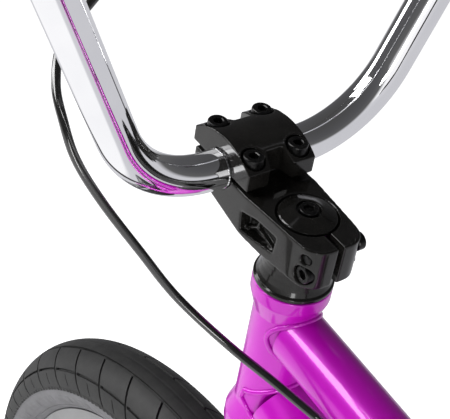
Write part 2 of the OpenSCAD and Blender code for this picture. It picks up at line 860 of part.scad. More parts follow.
// Outline of the clamp plate seen from the side
module plate_side() {
    intersection() {
        translate([stem_reach, clamp_z - 22]) circle(42);
        translate([26, clamp_z + 1.2]) square([51.5, 30]);
    }
}

module clamp_plate() {
    color(black) steering() difference() {
        translate([0, clamp_half, 0]) rotate([90, 0, 0]) linear_extrude(height = 2 * clamp_half)
            plate_side();
        translate([stem_reach, 60, clamp_z]) rotate([90, 0, 0]) cylinder(h = 120, r = bar_r + 0.02);
        for (sx = [-1, 1]) {
            for (sy = [-1, 1]) translate([stem_reach + sx * bolt_fore, sy * bolt_side, 20]) {
                cylinder(h = 60, r = clamp_bolt_r + 0.4);
                translate([0, 0, clamp_head_z - 20]) cylinder(h = 20, r = 6.7);
            }
            translate([stem_reach, 0, clamp_z]) linear_extrude(height = 40)
                polygon([[sx * 14.9, -5.3], [sx * 28, -8.6], [sx * 28, 8.6], [sx * 14.9, 5.3]]);
        }
    }
}

module clamp_bolts() {
    color(black) steering() for (sx = [-1, 1]) for (sy = [-1, 1])
        translate([stem_reach + sx * bolt_fore, sy * bolt_side, 0]) difference() {
            union() {
                translate([0, 0, 27]) cylinder(h = 32, r = clamp_bolt_r);
                translate([0, 0, clamp_head_z]) cylinder(h = 6, r = clamp_head_r);
            }
            translate([0, 0, 60]) cylinder(h = 5, r = hex_r, $fn = 6);
        }
}

module pinch_bolts() {
    color(black) steering() for (i = [0, 1]) difference() {
        pinch_shank(i, 0);
        translate([pinch_x, 0, pinch_z[i]]) rotate([i == 0 ? -90 : 90, 0, 0])
            translate([0, 0, pinch_seat[i] + 1.7]) cylinder(h = 4, r = hex_r, $fn = 6);
    }
}

module preload_cap() {
    color(black) steering() difference() {
        rotate_extrude() polygon([
            [0, stem_high - 2], [16.1, stem_high - 2], [16.1, 44.6], [15.4, 45.2], [8, 48.2],
            [7, 48.2], [6.4, 46.4], [0, 46.4]
        ]);
        cylinder(h = 60, r = 3.05);
    }
}

module preload_bolt() {
    color(black) steering() difference() {
        union() {
            translate([0, 0, 15]) cylinder(h = 32, r = 3);
            translate([0, 0, 46.4]) cylinder(h = 2.6, r1 = 5.4, r2 = 5);
        }
        translate([0, 0, 47]) cylinder(h = 5, r = hex_r, $fn = 6);
    }
}

// Centre line of the handlebar, from the right end to the left end
bar_line = [
    sided(bar_end, -1),
    sided(bar_top, -1),
    [stem_reach, -bar_bend_at, clamp_z],
    [stem_reach, bar_bend_at, clamp_z],
    bar_top,
    bar_end
];

module handlebar() {
    bends = [top_bend_r, bend_r, bend_r, top_bend_r];
    bar_wall = 1.5;
    color(chrome) steering() difference() {
        swept_tube(bent_path(bar_line, bends, 9), bar_r, [1, 0, 0], 24);
        for (s = [-1, 1]) mirror([0, s > 0 ? 0 : 1, 0])
            rod(bar_end - grip_dir * 100, bar_end + grip_dir * 5, bar_r - bar_wall);
    }
}

function upright_at(z) = lerp([stem_reach, bar_bend_at, clamp_z], bar_top, (z - clamp_z) / bar_rise);

module crossbar() {
    at = upright_at(crossbar_z);
    color(chrome) steering() difference() {
        rod(sided(at, -1), at, crossbar_r);
        for (s = [-1, 1]) rod([stem_reach, s * bar_bend_at, clamp_z], sided(bar_top, s), bar_r);
    }
}

module grips() {
    start = bar_end - grip_dir * grip_length;
    color(black) steering() for (s = [-1, 1]) mirror([0, s > 0 ? 0 : 1, 0]) difference() {
        union() {
            rod(start, bar_end, grip_r);
            rod(start, start + grip_dir * 4, grip_r + 9);
            rod(bar_end - grip_dir * 4, bar_end, grip_r + 2);
        }
        rod(start - grip_dir, bar_end + grip_dir, bar_r);
    }
}

module bar_plugs() {
    color(black) steering() for (s = [-1, 1]) mirror([0, s > 0 ? 0 : 1, 0]) {
        rod(bar_end - grip_dir * 18, bar_end + grip_dir * 2, bar_r - 1.6);
        rod(bar_end + grip_dir * 0.1, bar_end + grip_dir * 4, bar_r + 2, bar_r - 1);
    }
}

// Places children at the right lever: x ahead, y outward along the bar, z up
lever_from = bar_end - grip_dir * (grip_length + 22);
lever_pivot = [34, 4, 0];
module lever_frame() {
    ahead = unit([cos(back_sweep), sin(back_sweep), 0]);
    above = cross(ahead, grip_dir);
    steering() mirror([0, 1, 0]) multmatrix([
        [ahead[0], grip_dir[0], above[0], lever_from[0]],
        [ahead[1], grip_dir[1], above[1], lever_from[1]],
        [ahead[2], grip_dir[2], above[2], lever_from[2]],
        [0, 0, 0, 1]
    ]) children();
}

module lever_bracket() {
    color(black) lever_frame() difference() {
        union() {
            rotate([90, 0, 0]) translate([0, 0, -8]) cylinder(h = 16, r = 15.5);
            translate([8, -8, -8]) cube([22, 14, 16]);
            translate([24, -6, -9]) cube([18, 16, 18]);
            translate([30, -6, 0]) rotate([90, 0, 0]) cylinder(h = 16, r = 5.5);
        }
        rotate([90, 0, 0]) translate([0, 0, -30]) cylinder(h = 60, r = bar_r);
        translate([26, -3, -5.3]) cube([40, 40, 10.6]);
        translate([lever_pivot[0], lever_pivot[1], -20]) cylinder(h = 40, r = 3);
    }
}

module lever_pin() {
    color(steel) lever_frame() translate([lever_pivot[0], lever_pivot[1], -10])
        cylinder(h = 20, r = 3);
}

module brake_lever() {
    color(black) lever_frame() difference() {
        union() {
            translate([lever_pivot[0], lever_pivot[1], -5]) cylinder(h = 10, r = 6.5);
            translate([0, 0, -4.5]) linear_extrude(height = 9) polygon([
                [30, 6], [38, 9], [46, 24], [51.5, 50], [50.5, 92], [46.5, 96], [43.5, 92],
                [43.5, 50], [39.5, 30]
            ]);
        }
        translate([lever_pivot[0], lever_pivot[1], -20]) cylinder(h = 40, r = 3.05);
    }
}

// ---- Rear brake ----

// Places children on the seat stays' brake: x to the right, y out from the axle, z behind
brake_away = unit([seat_stay_mid[0] - rear_axle_at[0], 0, seat_stay_mid[2] - rear_axle_at[2]]);
brake_behind = [-brake_away[2], 0, brake_away[0]];
module brake_frame() {
    multmatrix([
        [0, brake_away[0], brake_behind[0], rear_axle_at[0]],
        [-1, brake_away[1], brake_behind[1], rear_axle_at[1]],
        [0, brake_away[2], brake_behind[2], rear_axle_at[2]],
        [0, 0, 0, 1]
    ]) children();
}

// A post that a brake arm turns on, welded to a seat stay
module brake_boss(s) {
    difference() {
        brake_frame() translate([s * brake_half, brake_radius, 0]) {
            cylinder(h = 29, r = 4);
            cylinder(h = 8.7, r = 6.6);
        }
        seat_stay(-s);
    }
}

module brake_arm(s, level) {
    pad_x = s > 0 ? 19.5 : -29.5;
    color(black) brake_frame() difference() {
        union() {
            translate([s * brake_half, brake_radius, 9]) cylinder(h = 18, r = 7);
            translate([0, 0, level]) linear_extrude(height = 5) polygon([
                [s * 43, 218], [s * 44, 240], [s * 39, 256], [s * 24, 270],
                [-s * 6, 282], [-s * 10, 276], [s * 14, 264], [s * 32, 246],
                [s * 31, 228], [s * 30, 209], [s * 20, 206], [s * 20, 198], [s * 31, 198], [s * 36, 208]
            ]);
            translate([pad_x, 198, -24]) cube([10, 9, level + 26]);
        }
        translate([s * brake_half, brake_radius, 0]) cylinder(h = 40, r = 4.05);
    }
}

module brake_arm_left() { brake_arm(-1, 12); }
module brake_arm_right() { brake_arm(1, 19); }

module brake_cable_bars() {
    color(black) swept_tube(smooth_path(bars_route, 3), cable_r, [1, 0, 0]);
}

module brake_cable_loop() {
    color(black) swept_tube(smooth_path(loop_route, 2), cable_r, [1, 0, 0]);
}

module brake_cable_frame() {
    color(black) swept_tube(smooth_path(frame_route, 3), cable_r, [0, 1, 0]);
}

// ---- Seat ----

post_top = crank_at + seat_dir * (seat_top + 62);
post_low = crank_at + seat_dir * (seat_top - 110);

module seat_post() {
    color(black) difference() {
        union() {
            rod(post_low, post_top, post_r);
            across(post_top, 14, -15, 15);
        }
        rod(post_low - seat_dir * 9, post_top - seat_dir * 26, post_r - 2.5);
        across(post_top, 4.05, -50, 50);
    }
}

module saddle_base() {
    color(black) difference() {
        union() {
            for (s = [-1, 1]) across(post_top, 11, min(s * 15.3, s * 20), max(s * 15.3, s * 20));
            translate(post_top + [0, 0, 15]) for (s = [-1, 1])
                translate([-11, s > 0 ? 15.3 : -20, -15]) cube([22, 4.7, 20]);
            translate(post_top + [-95, 0, 20]) linear_extrude(height = 5) saddle_plan(-6);
        }
        across(post_top, 4.05, -50, 50);
    }
}

// Outline of the saddle seen from above, from its tail to its nose
module saddle_plan(grow) {
    circle(46 + grow, $fn = 40);
    polygon([[0, -46 - grow], [60, -30 - grow], [150, -17 - grow], [150, 17 + grow],
        [60, 30 + grow], [0, 46 + grow]]);
    translate([150, 0]) circle(17 + grow, $fn = 32);
}

module saddle_pad() {
    color(rubber) translate(post_top + [-95, 0, 25]) hull() {
        linear_extrude(height = 16) saddle_plan(0);
        translate([6, 0, 22]) scale(0.9) linear_extrude(height = 8) saddle_plan(-9);
    }
}

module saddle_pivot_bolt() {
    color(steel) {
        across(post_top, 4, -24, 24);
        for (s = [-1, 1]) across(post_top, 7, min(s * 20, s * 24), max(s * 20, s * 24));
    }
}

head_tube();
top_tube();
down_tube();
seat_tube();
bottom_bracket_shell();
chain_stays();
seat_stays();
dropouts();
headset_bearings();
bottom_bracket_bearings();
seat_clamp();
seat_clamp_bolt();
rear_axle();
rear_axle_nuts();
chain();
brake_cable_frame();
fork_steerer();
fork_legs();
headset_top_cap();
stem_body();
clamp_plate();
clamp_bolts();
pinch_bolts();
preload_cap();
preload_bolt();
handlebar();
crossbar();
grips();
bar_plugs();
lever_bracket();
lever_pin();
front_axle();
front_axle_nuts();
brake_cable_bars();
brake_cable_loop();
brake_lever();
brake_arm_left();
brake_arm_right();
front_tyre();
front_rim();
front_spokes();
front_hub();
front_hub_bearings();
rear_tyre();
rear_rim();
rear_spokes();
rear_hub();
rear_hub_bearings();
driver();
crank_spindle();
crank_arms();
sprocket();
crank_bolts();
pedal_axles();
pedal_left();
pedal_right();
seat_post();
saddle_base();
saddle_pad();
saddle_pivot_bolt();
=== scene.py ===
import json
import math

import bmesh
import bpy
import numpy as np
from mathutils import Matrix, Vector


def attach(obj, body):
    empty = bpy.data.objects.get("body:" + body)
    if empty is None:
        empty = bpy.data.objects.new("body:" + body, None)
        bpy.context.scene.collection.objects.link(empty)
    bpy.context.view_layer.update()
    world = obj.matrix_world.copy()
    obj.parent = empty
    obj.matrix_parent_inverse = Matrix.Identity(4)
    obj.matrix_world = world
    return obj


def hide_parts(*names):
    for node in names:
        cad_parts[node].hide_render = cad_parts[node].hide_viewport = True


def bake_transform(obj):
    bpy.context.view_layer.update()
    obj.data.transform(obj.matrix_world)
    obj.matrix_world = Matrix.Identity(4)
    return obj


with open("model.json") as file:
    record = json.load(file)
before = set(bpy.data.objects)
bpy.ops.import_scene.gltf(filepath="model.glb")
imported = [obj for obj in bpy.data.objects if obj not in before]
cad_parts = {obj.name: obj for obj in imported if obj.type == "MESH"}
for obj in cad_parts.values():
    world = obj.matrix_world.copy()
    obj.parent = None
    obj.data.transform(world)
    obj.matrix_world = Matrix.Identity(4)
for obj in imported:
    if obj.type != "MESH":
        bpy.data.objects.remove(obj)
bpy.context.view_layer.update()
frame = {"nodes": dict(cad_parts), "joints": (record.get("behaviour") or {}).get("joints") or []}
MM = 0.001
JOINTS = {j["name"]: j for j in frame["joints"]}

# ---- Places, from the frame ----
HEAD = np.array(JOINTS["steering_turn"]["pos_m"])
UP = np.array(JOINTS["steering_turn"]["axis"])
LEFT = np.array([0.0, 1.0, 0.0])
AHEAD = np.cross(LEFT, UP)
FRONT_AXLE = np.array(JOINTS["front_wheel_spin"]["pos_m"])
REAR_AXLE = np.array(JOINTS["rear_wheel_spin"]["pos_m"])
CRANK = np.array(JOINTS["crank_spin"]["pos_m"])
SEAT_DIR = np.array(JOINTS["seat_height"]["axis"])

# ---- Driving dimensions, in millimetres, as in the CAD ----
TYRE_R = 257.5
HEAD_LENGTH = 115.0
HEAD_R = 22.5
WAIST_R = 18.6
TOP_JOIN = 31.4
DOWN_JOIN = 84.0
TOP_SLOPE = 19.0
TOP_TUBE_R = 17.0
DOWN_TUBE_R = 19.0
STEM_REACH = 50.9
CLAMP_Z = 45.8
BAR_R = 11.1
BAR_BEND_AT = 72.0
BAR_RISE = 216.0
BAR_HALF = 362.0
UPRIGHT_LEAN = 23.6
UPRIGHT_FORE = 4.0
BACK_SWEEP = 11.0
UP_SWEEP = 2.0
BEND_R = 66.0
TOP_BEND_R = 60.0
CROSSBAR_Z = 190.0
GRIP_LENGTH = 132.0
GRIP_R = 15.0
CABLE_R = 2.5
PITCH = 12.7
SPROCKET_TEETH = 28
DRIVER_TEETH = 10
CHAIN_Y = -45.0
SEAT_TUBE_R = 15.0
SHELL_R = 23.0
CROSSBAR_R = 8.0
SIDES = ((1, "left"), (-1, "right"))


def unit(v):
    """The direction of a vector."""
    v = np.asarray(v, float)
    return v / np.linalg.norm(v)


def steer(x, y, z):
    """A point of the steering frame, given in millimetres ahead, left and along the axis."""
    return HEAD + MM * (AHEAD * x + LEFT * y + UP * z)


# ---- Materials ----
def make_material(name, color, **settings):
    """A material, its node tree and its shader, with the shader's own sockets set."""
    m = bpy.data.materials.new(name)
    m.use_nodes = True
    shader = m.node_tree.nodes["Principled BSDF"]
    shader.inputs["Base Color"].default_value = (*color, 1)
    for key, value in settings.items():
        socket = key.replace("_", " ").title().replace("Ior", "IOR")
        shader.inputs[socket].default_value = value
    return m, m.node_tree, shader


def coords(tree):
    """Places on a piece, in metres."""
    return tree.nodes.new("ShaderNodeTexCoord").outputs["Object"]


def noise(tree, scale, detail, rough=0.55):
    n = tree.nodes.new("ShaderNodeTexNoise")
    n.inputs["Scale"].default_value = scale
    n.inputs["Detail"].default_value = detail
    n.inputs["Roughness"].default_value = rough
    tree.links.new(coords(tree), n.inputs["Vector"])
    return n.outputs["Fac"]


def ramp(tree, fac, stops):
    """A colour from a factor, by stops of (position, colour)."""
    r = tree.nodes.new("ShaderNodeValToRGB")
    while len(r.color_ramp.elements) < len(stops):
        r.color_ramp.elements.new(0.5)
    for e, (pos, col) in zip(r.color_ramp.elements, stops):
        e.position = pos
        e.color = (*col, 1)
    tree.links.new(fac, r.inputs["Fac"])
    return r.outputs["Color"]


def tint(tree, shader, fac, stops):
    """Colours a shader by a factor."""
    tree.links.new(ramp(tree, fac, stops), shader.inputs["Base Color"])


def dull(tree, shader, fac, low, high):
    """Spreads a shader's roughness from low to high by a factor."""
    r = tree.nodes.new("ShaderNodeMapRange")
    r.inputs["To Min"].default_value = low
    r.inputs["To Max"].default_value = high
    tree.links.new(fac, r.inputs["Value"])
    tree.links.new(r.outputs["Result"], shader.inputs["Roughness"])


def bump(tree, shader, height, strength, distance):
    b = tree.nodes.new("ShaderNodeBump")
    b.inputs["Strength"].default_value = strength
    b.inputs["Distance"].default_value = distance
    tree.links.new(height, b.inputs["Height"])
    tree.links.new(b.outputs["Normal"], shader.inputs["Normal"])


def paint_material():
    m, t, s = make_material("frame_paint", (0.56, 0, 0.52), metallic=0.2, roughness=0.36,
        coat_weight=0.8, coat_roughness=0.04, specular_ior_level=0.35)
    flake = noise(t, 5200, 2, 0.4)
    tint(t, s, flake, [(0.3, (0.54, 0.0, 0.50)), (0.55, (0.62, 0.0, 0.58)),
        (0.75, (0.72, 0.01, 0.68))])
    dull(t, s, noise(t, 60, 3), 0.3, 0.42)
    bump(t, s, flake, 0.08, MM * 0.05)
    return m


def black_gloss():
    m, t, s = make_material("black_gloss", (0.012, 0.0115, 0.011), roughness=0.16,
        coat_weight=0.35, coat_roughness=0.04, specular_ior_level=0.2)
    tint(t, s, noise(t, 140, 5), [(0.35, (0.008, 0.0076, 0.007)), (0.7, (0.013, 0.0122, 0.0112))])
    dull(t, s, noise(t, 420, 4), 0.12, 0.2)
    bump(t, s, noise(t, 500, 2), 0.02, MM * 0.12)
    return m


def bolt_black():
    m, t, s = make_material("bolt_black", (0.02, 0.02, 0.021), metallic=0.85, roughness=0.28)
    tint(t, s, noise(t, 700, 4), [(0.35, (0.012, 0.012, 0.013)), (0.7, (0.035, 0.034, 0.033))])
    dull(t, s, noise(t, 1500, 3), 0.2, 0.4)
    return m


def chrome():
    m, t, s = make_material("chrome_plate", (0.9, 0.9, 0.915), metallic=1.0, roughness=0.05)
    tint(t, s, noise(t, 25, 3), [(0.3, (0.87, 0.87, 0.89)), (0.7, (0.93, 0.93, 0.94))])
    dull(t, s, noise(t, 160, 4), 0.025, 0.075)
    bump(t, s, noise(t, 55, 2), 0.05, MM * 0.3)
    return m


def bare_steel():
    tone, rough = 0.55, 0.28
    m, t, s = make_material("steel_bare", (tone, tone, tone), metallic=1.0, roughness=rough)
    tint(t, s, noise(t, 300, 5),
        [(0.3, (tone * 0.82,) * 3), (0.7, (tone, tone, tone * 1.03))])
    dull(t, s, noise(t, 800, 4), rough - 0.1, rough + 0.12)
    bump(t, s, noise(t, 1200, 3), 0.08, MM * 0.06)
    return m


def rubber(name, low, high, grain=900, rough=(0.5, 0.68)):
    m, t, s = make_material(name, high, specular_ior_level=0.4)
    tint(t, s, noise(t, grain / 8, 6), [(0.3, low), (0.72, high)])
    dull(t, s, noise(t, grain, 4), *rough)
    bump(t, s, noise(t, grain * 2.2, 3), 0.18, MM * 0.12)
    return m


def plastic():
    m, t, s = make_material("plastic_black", (0.02, 0.02, 0.021), roughness=0.45)
    grain = noise(t, 2600, 2)
    tint(t, s, noise(t, 90, 4), [(0.3, (0.014, 0.014, 0.015)), (0.7, (0.026, 0.026, 0.027))])
    dull(t, s, grain, 0.38, 0.55)
    bump(t, s, grain, 0.2, MM * 0.1)
    return m


def cable_skin():
    m, t, s = make_material("cable_black", (0.01, 0.01, 0.01), roughness=0.2,
        coat_weight=1.0, coat_roughness=0.1, specular_ior_level=0.6)
    tint(t, s, noise(t, 400, 3), [(0.3, (0.008, 0.008, 0.008)), (0.7, (0.014, 0.014, 0.013))])
    dull(t, s, noise(t, 1600, 2), 0.13, 0.24)
    return m


def alloy(name, tone, rough):
    m, t, s = make_material(name, (tone, tone, tone), metallic=0.9, roughness=rough)
    tint(t, s, noise(t, 70, 5), [(0.3, (tone * 0.85,) * 3), (0.7, (tone, tone, tone * 1.02))])
    dull(t, s, noise(t, 900, 3), rough - 0.08, rough + 0.1)
    bump(t, s, noise(t, 2000, 2), 0.06, MM * 0.05)
    return m


def saddle_fabric():
    m, t, s = make_material("saddle_cover", (0.02, 0.02, 0.022), roughness=0.7,
        sheen_weight=0.25, sheen_roughness=0.4)
    weave = t.nodes.new("ShaderNodeTexVoronoi")
    weave.inputs["Scale"].default_value = 900
    t.links.new(coords(t), weave.inputs["Vector"])
    tint(t, s, weave.outputs["Distance"], [(0.1, (0.028, 0.028, 0.03)), (0.6, (0.01, 0.01, 0.011))])
    dull(t, s, noise(t, 300, 4), 0.6, 0.8)
    bump(t, s, weave.outputs["Distance"], 0.5, MM * 0.25)
    return m


MATS = {
    "frame_paint": paint_material(),
    "black_gloss": black_gloss(),
    "bolt_black": bolt_black(),
    "chrome_plate": chrome(),
    "steel_bare": bare_steel(),
    "tyre_rubber": rubber("tyre_rubber", (0.018, 0.018, 0.0185), (0.031, 0.031, 0.0305)),
    # The sidewall's lighter grey is painted sheen: grazing light on the black rubber, put into its colour
    "painted_wall_sheen": rubber("tyre_painted_wall_sheen", (0.13, 0.13, 0.135), (0.18, 0.18, 0.19), 700),
    "rim_alloy": alloy("rim_alloy", 0.34, 0.32),
    "hub_alloy": alloy("hub_alloy", 0.03, 0.3),
    "rubber_grip": rubber("rubber_grip", (0.012, 0.012, 0.012), (0.022, 0.022, 0.022), 1200),
    "plastic_black": plastic(),
    "cable_black": cable_skin(),
    "saddle_cover": saddle_fabric(),
}


# ---- Mesh helpers ----
def smooth_shade(mesh, angle=None):
    mesh.polygons.foreach_set("use_smooth", [True] * len(mesh.polygons))
    if angle is not None:
        mesh.set_sharp_from_angle(angle=math.radians(angle))


def dress(piece, material, body, stands_for=()):
    """Gives a piece its material, its body, and the CAD nodes that it replaces."""
    if piece.name not in bpy.context.collection.objects:
        bpy.context.collection.objects.link(piece)
    piece.data.materials.clear()
    piece.data.materials.append(MATS[material])
    if body:
        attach(piece, body)
    if stands_for:
        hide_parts(*stands_for)
    return piece


def frames_along(path, ref):
    """A path's points, and two side directions at each."""
    path = np.asarray(path, float)
    t = np.gradient(path, axis=0)
    t /= np.linalg.norm(t, axis=1)[:, None]
    s = np.cross(t, ref)
    s /= np.linalg.norm(s, axis=1)[:, None]
    return path, s, np.cross(t, s)


def grid_faces(rows, cols, wrap_rows=False):
    """Quads of a grid whose columns close on themselves."""
    faces = []
    for i in range(rows if wrap_rows else rows - 1):
        j = (i + 1) % rows
        for k in range(cols):
            m = (k + 1) % cols
            faces.append((i * cols + k, i * cols + m, j * cols + m, j * cols + k))
    return faces


def ring_points(path, s, v, radii, sides):
    """A circle round each point of a path, from its two side directions."""
    angle = np.arange(sides) * 2 * math.pi / sides
    ring = s[:, None] * np.cos(angle)[None, :, None] + v[:, None] * np.sin(angle)[None, :, None]
    return (path[:, None] + ring * radii[:, None, None]).reshape(-1, 3)


def sweep(path, radius, ref, sides):
    """A closed tube along a path."""
    path, s, v = frames_along(path, ref)
    n = len(path)
    verts = ring_points(path, s, v, np.full(n, radius), sides)
    faces = grid_faces(n, sides)
    faces.append(tuple(range(sides)))
    faces.append(tuple((n - 1) * sides + k for k in reversed(range(sides))))
    return verts, [tuple(reversed(f)) for f in faces]


def ring_sweep(path, radii, ref_points, sides):
    """A closed loop of bead: each point's side direction points away from ref_points."""
    path = np.asarray(path, float)
    n = len(path)
    t = np.roll(path, -1, axis=0) - np.roll(path, 1, axis=0)
    t /= np.linalg.norm(t, axis=1)[:, None]
    s = path - ref_points
    s -= t * np.sum(s * t, axis=1)[:, None]
    s /= np.linalg.norm(s, axis=1)[:, None]
    return ring_points(path, s, np.cross(t, s), radii, sides), grid_faces(n, sides, True)


def lathe(profile, centre, axis, side, steps=96):
    """Turns a closed profile of (radius, along) points, in millimetres, about an axis."""
    profile = np.asarray(profile, float) * MM
    axis, side = unit(axis), unit(side)
    other = np.cross(axis, side)
    verts = []
    for k in range(steps):
        a = 2 * math.pi * k / steps
        out = side * math.cos(a) + other * math.sin(a)
        verts += [centre + out * r + axis * z for r, z in profile]
    return np.array(verts), grid_faces(steps, len(profile), True)


def round_profile(points, radius, steps=4):
    """A closed outline with each corner rounded by an arc no larger than radius."""
    pts = [np.array(p, float) for p in points]
    out = []
    n = len(pts)
    for i in range(n):
        a, b, c = pts[i - 1], pts[i], pts[(i + 1) % n]
        ab, cb = unit(a - b), unit(c - b)
        turn = math.acos(np.clip(ab @ cb, -1, 1))
        cut = min(radius / max(math.tan(turn / 2), 1e-3), 0.45 * np.linalg.norm(a - b),
            0.45 * np.linalg.norm(c - b))
        p, q = b + ab * cut, b + cb * cut
        for k in range(steps + 1):
            w = k / steps
            out.append((1 - w) ** 2 * p + 2 * w * (1 - w) * b + w * w * q)
    return out


def bend_path(points, radii, steps):
    """A path through the points, with an arc of the given radius at each corner."""
    pts = [np.array(p, float) for p in points]
    out = [pts[0]]
    for i in range(1, len(pts) - 1):
        into, leave = unit(pts[i] - pts[i - 1]), unit(pts[i + 1] - pts[i])
        turn = math.acos(np.clip(into @ leave, -1, 1))
        cut = radii[i - 1] * math.tan(turn / 2)
        inward = unit(leave - into * (leave @ into))
        start = pts[i] - into * cut
        centre = start + inward * radii[i - 1]
        for k in range(steps + 1):
            a = turn * k / steps
            out.append(centre + radii[i - 1] * (into * math.sin(a) - inward * math.cos(a)))
    return out + [pts[-1]]


def fill_path(path, step):
    """The same path with points no further apart than step."""
    out = [np.array(path[0], float)]
    for p in path[1:]:
        start, p = out[-1], np.array(p, float)
        count = max(1, math.ceil(np.linalg.norm(p - start) / step))
        out += [start + (p - start) * k / count for k in range(1, count + 1)]
    return np.array(out)


def smooth_route(points, steps):
    """A smooth curve, in metres, through the points of a cable's route."""
    p = np.array(points, float)
    p = np.vstack([2 * p[0] - p[1], p, 2 * p[-1] - p[-2]])
    out = []
    for i in range(1, len(p) - 2):
        a, b, c, d = p[i - 1:i + 3]
        for k in range(steps):
            t = k / steps
            out.append(0.5 * (2 * b + (c - a) * t + (2 * a - 5 * b + 4 * c - d) * t * t
                + (3 * b - 3 * c + d - a) * t ** 3))
    return np.array(out + [p[-2]]) * MM


def final_mesh(piece, name):
    """Applies a piece's modifiers, as a new mesh of the same name."""
    graph = bpy.context.evaluated_depsgraph_get()
    mesh = bpy.data.meshes.new_from_object(piece.evaluated_get(graph))
    mesh.name = name
    piece.modifiers.clear()
    piece.data = mesh
    return piece


def forged(name, nodes, voxel, passes, material, body):
    """A forged or cast piece: the CAD solids, joined, with their edges and inner corners rounded."""
    mesh = bpy.data.meshes.new(name)
    bm = bmesh.new()
    for n in nodes:
        bm.from_mesh(frame["nodes"][n].data)
    bm.to_mesh(mesh)
    bm.free()
    piece = bpy.data.objects.new(name, mesh)
    bpy.context.collection.objects.link(piece)
    remesh = piece.modifiers.new("remesh", "REMESH")
    remesh.mode = "VOXEL"
    remesh.voxel_size = voxel * MM
    blur = piece.modifiers.new("blur", "SMOOTH")
    blur.factor = 0.5
    blur.iterations = passes
    final_mesh(piece, name)
    smooth_shade(piece.data)
    return dress(piece, material, body, nodes)


# ---- Camera, floor and light ----
LENS = 102.86
SENSOR = 36.0
NEAREST = 0.02
FURTHEST = 60.0
CAMERA_FROM_HEAD = np.array([-481.59, 373.77, 347.82])
CAMERA_RIGHT = (-0.57085, -0.82092, -0.01512)
CAMERA_AHEAD = (0.73729, -0.50441, -0.44942)
FLOOR_HALF = 9.0
# Area lights: name, place, point it faces, size in metres, power in watts
LIGHTS = [
    ("key", (0.9, 1.25, 2.25), (0.35, 0, 0.65), (1.15, 0.85), 30),
    ("side", (2.04, 1.15, 1.68), (0.35, 0, 0.65), (0.7, 1.4), 20),
    ("fill", (-1.5, 1.3, 0.45), (0.4, 0, 0.65), (0.4, 1.1), 12),
]
# The room's tones by height, from straight down to straight up, and by side, from right to left
HIGH_TONES = [(0.0, (0.1, 0.1, 0.1)), (0.5, (0.12, 0.12, 0.12)), (0.66, (0.09, 0.09, 0.095)),
    (1.0, (0.07, 0.07, 0.07))]
LOW_TONES = [(0.0, (0.62, 0.62, 0.65)), (0.36, (0.62, 0.62, 0.65)), (0.505, (0.68, 0.68, 0.71)),
    (0.55, (1.04, 1.04, 1.05)), (1.0, (1.04, 1.04, 1.05))]
HORIZON = (-0.14, 0.02)


def set_camera():
    data = bpy.data.cameras.new("camera")
    data.lens = LENS
    data.sensor_width = SENSOR
    data.clip_start = NEAREST
    data.clip_end = FURTHEST
    camera = bpy.data.objects.new("camera", data)
    right, ahead = unit(CAMERA_RIGHT), unit(CAMERA_AHEAD)
    columns = (right, np.cross(right, ahead), -ahead, HEAD + MM * CAMERA_FROM_HEAD)
    m = Matrix.Identity(4)
    for row in range(3):
        for col in range(4):
            m[row][col] = columns[col][row]
    camera.matrix_world = m
    bpy.context.collection.objects.link(camera)
    bpy.context.scene.camera = camera


def set_floor():
    bm = bmesh.new()
    bmesh.ops.create_grid(bm, x_segments=8, y_segments=8, size=FLOOR_HALF)
    mesh = bpy.data.meshes.new("floor")
    bm.to_mesh(mesh)
    bm.free()
    floor = bpy.data.objects.new("floor", mesh)
    bpy.context.collection.objects.link(floor)
    m, t, s = make_material("floor_paper", (0.93, 0.93, 0.93), roughness=0.85)
    s.inputs["Specular IOR Level"].default_value = 0.1
    tint(t, s, noise(t, 3, 3), [(0.3, (0.92, 0.92, 0.92)), (0.7, (0.95, 0.95, 0.95))])
    s.inputs["Emission Color"].default_value = (1, 1, 1, 1)
    s.inputs["Emission Strength"].default_value = 0.85
    mesh.materials.append(m)
    floor.visible_glossy = False


def set_world():
    """A pale room below the horizon, dimmer on the right, and a dark one above it."""
    world = bpy.data.worlds.new("studio")
    bpy.context.scene.world = world
    world.use_nodes = True
    t = world.node_tree
    t.nodes.clear()
    out = t.nodes.new("ShaderNodeOutputWorld")
    split = t.nodes.new("ShaderNodeSeparateXYZ")
    t.links.new(t.nodes.new("ShaderNodeTexCoord").outputs["Generated"], split.inputs[0])

    def share(axis, low, high):
        """0 at low and 1 at high, along an axis of the direction looked in."""
        part = t.nodes.new("ShaderNodeMapRange")
        part.inputs["From Min"].default_value = low
        part.inputs["From Max"].default_value = high
        t.links.new(split.outputs[axis], part.inputs["Value"])
        return part.outputs["Result"]

    dark = ramp(t, share("Z", -1, 1), HIGH_TONES)
    pale = ramp(t, share("Y", -1, 1), LOW_TONES)
    glow = t.nodes.new("ShaderNodeMix")
    glow.data_type = "RGBA"
    t.links.new(share("Z", *HORIZON), glow.inputs["Factor"])
    t.links.new(pale, glow.inputs["A"])
    t.links.new(dark, glow.inputs["B"])
    seen = t.nodes.new("ShaderNodeBackground")
    seen.inputs["Color"].default_value = (1.0, 1.0, 1.0, 1)
    studio = t.nodes.new("ShaderNodeBackground")
    t.links.new(glow.outputs["Result"], studio.inputs["Color"])
    mix = t.nodes.new("ShaderNodeMixShader")
    t.links.new(t.nodes.new("ShaderNodeLightPath").outputs["Is Camera Ray"], mix.inputs["Fac"])
    t.links.new(studio.outputs[0], mix.inputs[1])
    t.links.new(seen.outputs[0], mix.inputs[2])
    t.links.new(mix.outputs[0], out.inputs["Surface"])


def area_light(name, place, target, size, power):
    data = bpy.data.lights.new(name, "AREA")
    data.shape = "RECTANGLE"
    data.size, data.size_y = size
    data.energy = power
    light = bpy.data.objects.new(name, data)
    light.location = place
    look = Vector(target) - Vector(place)
    light.rotation_euler = look.to_track_quat("-Z", "Y").to_euler()
    light.visible_camera = False
    bpy.context.collection.objects.link(light)


def set_stage():
    set_floor()
    set_world()
    for light in LIGHTS:
        area_light(*light)
    bpy.context.scene.view_settings.view_transform = "Standard"


set_camera()
set_stage()


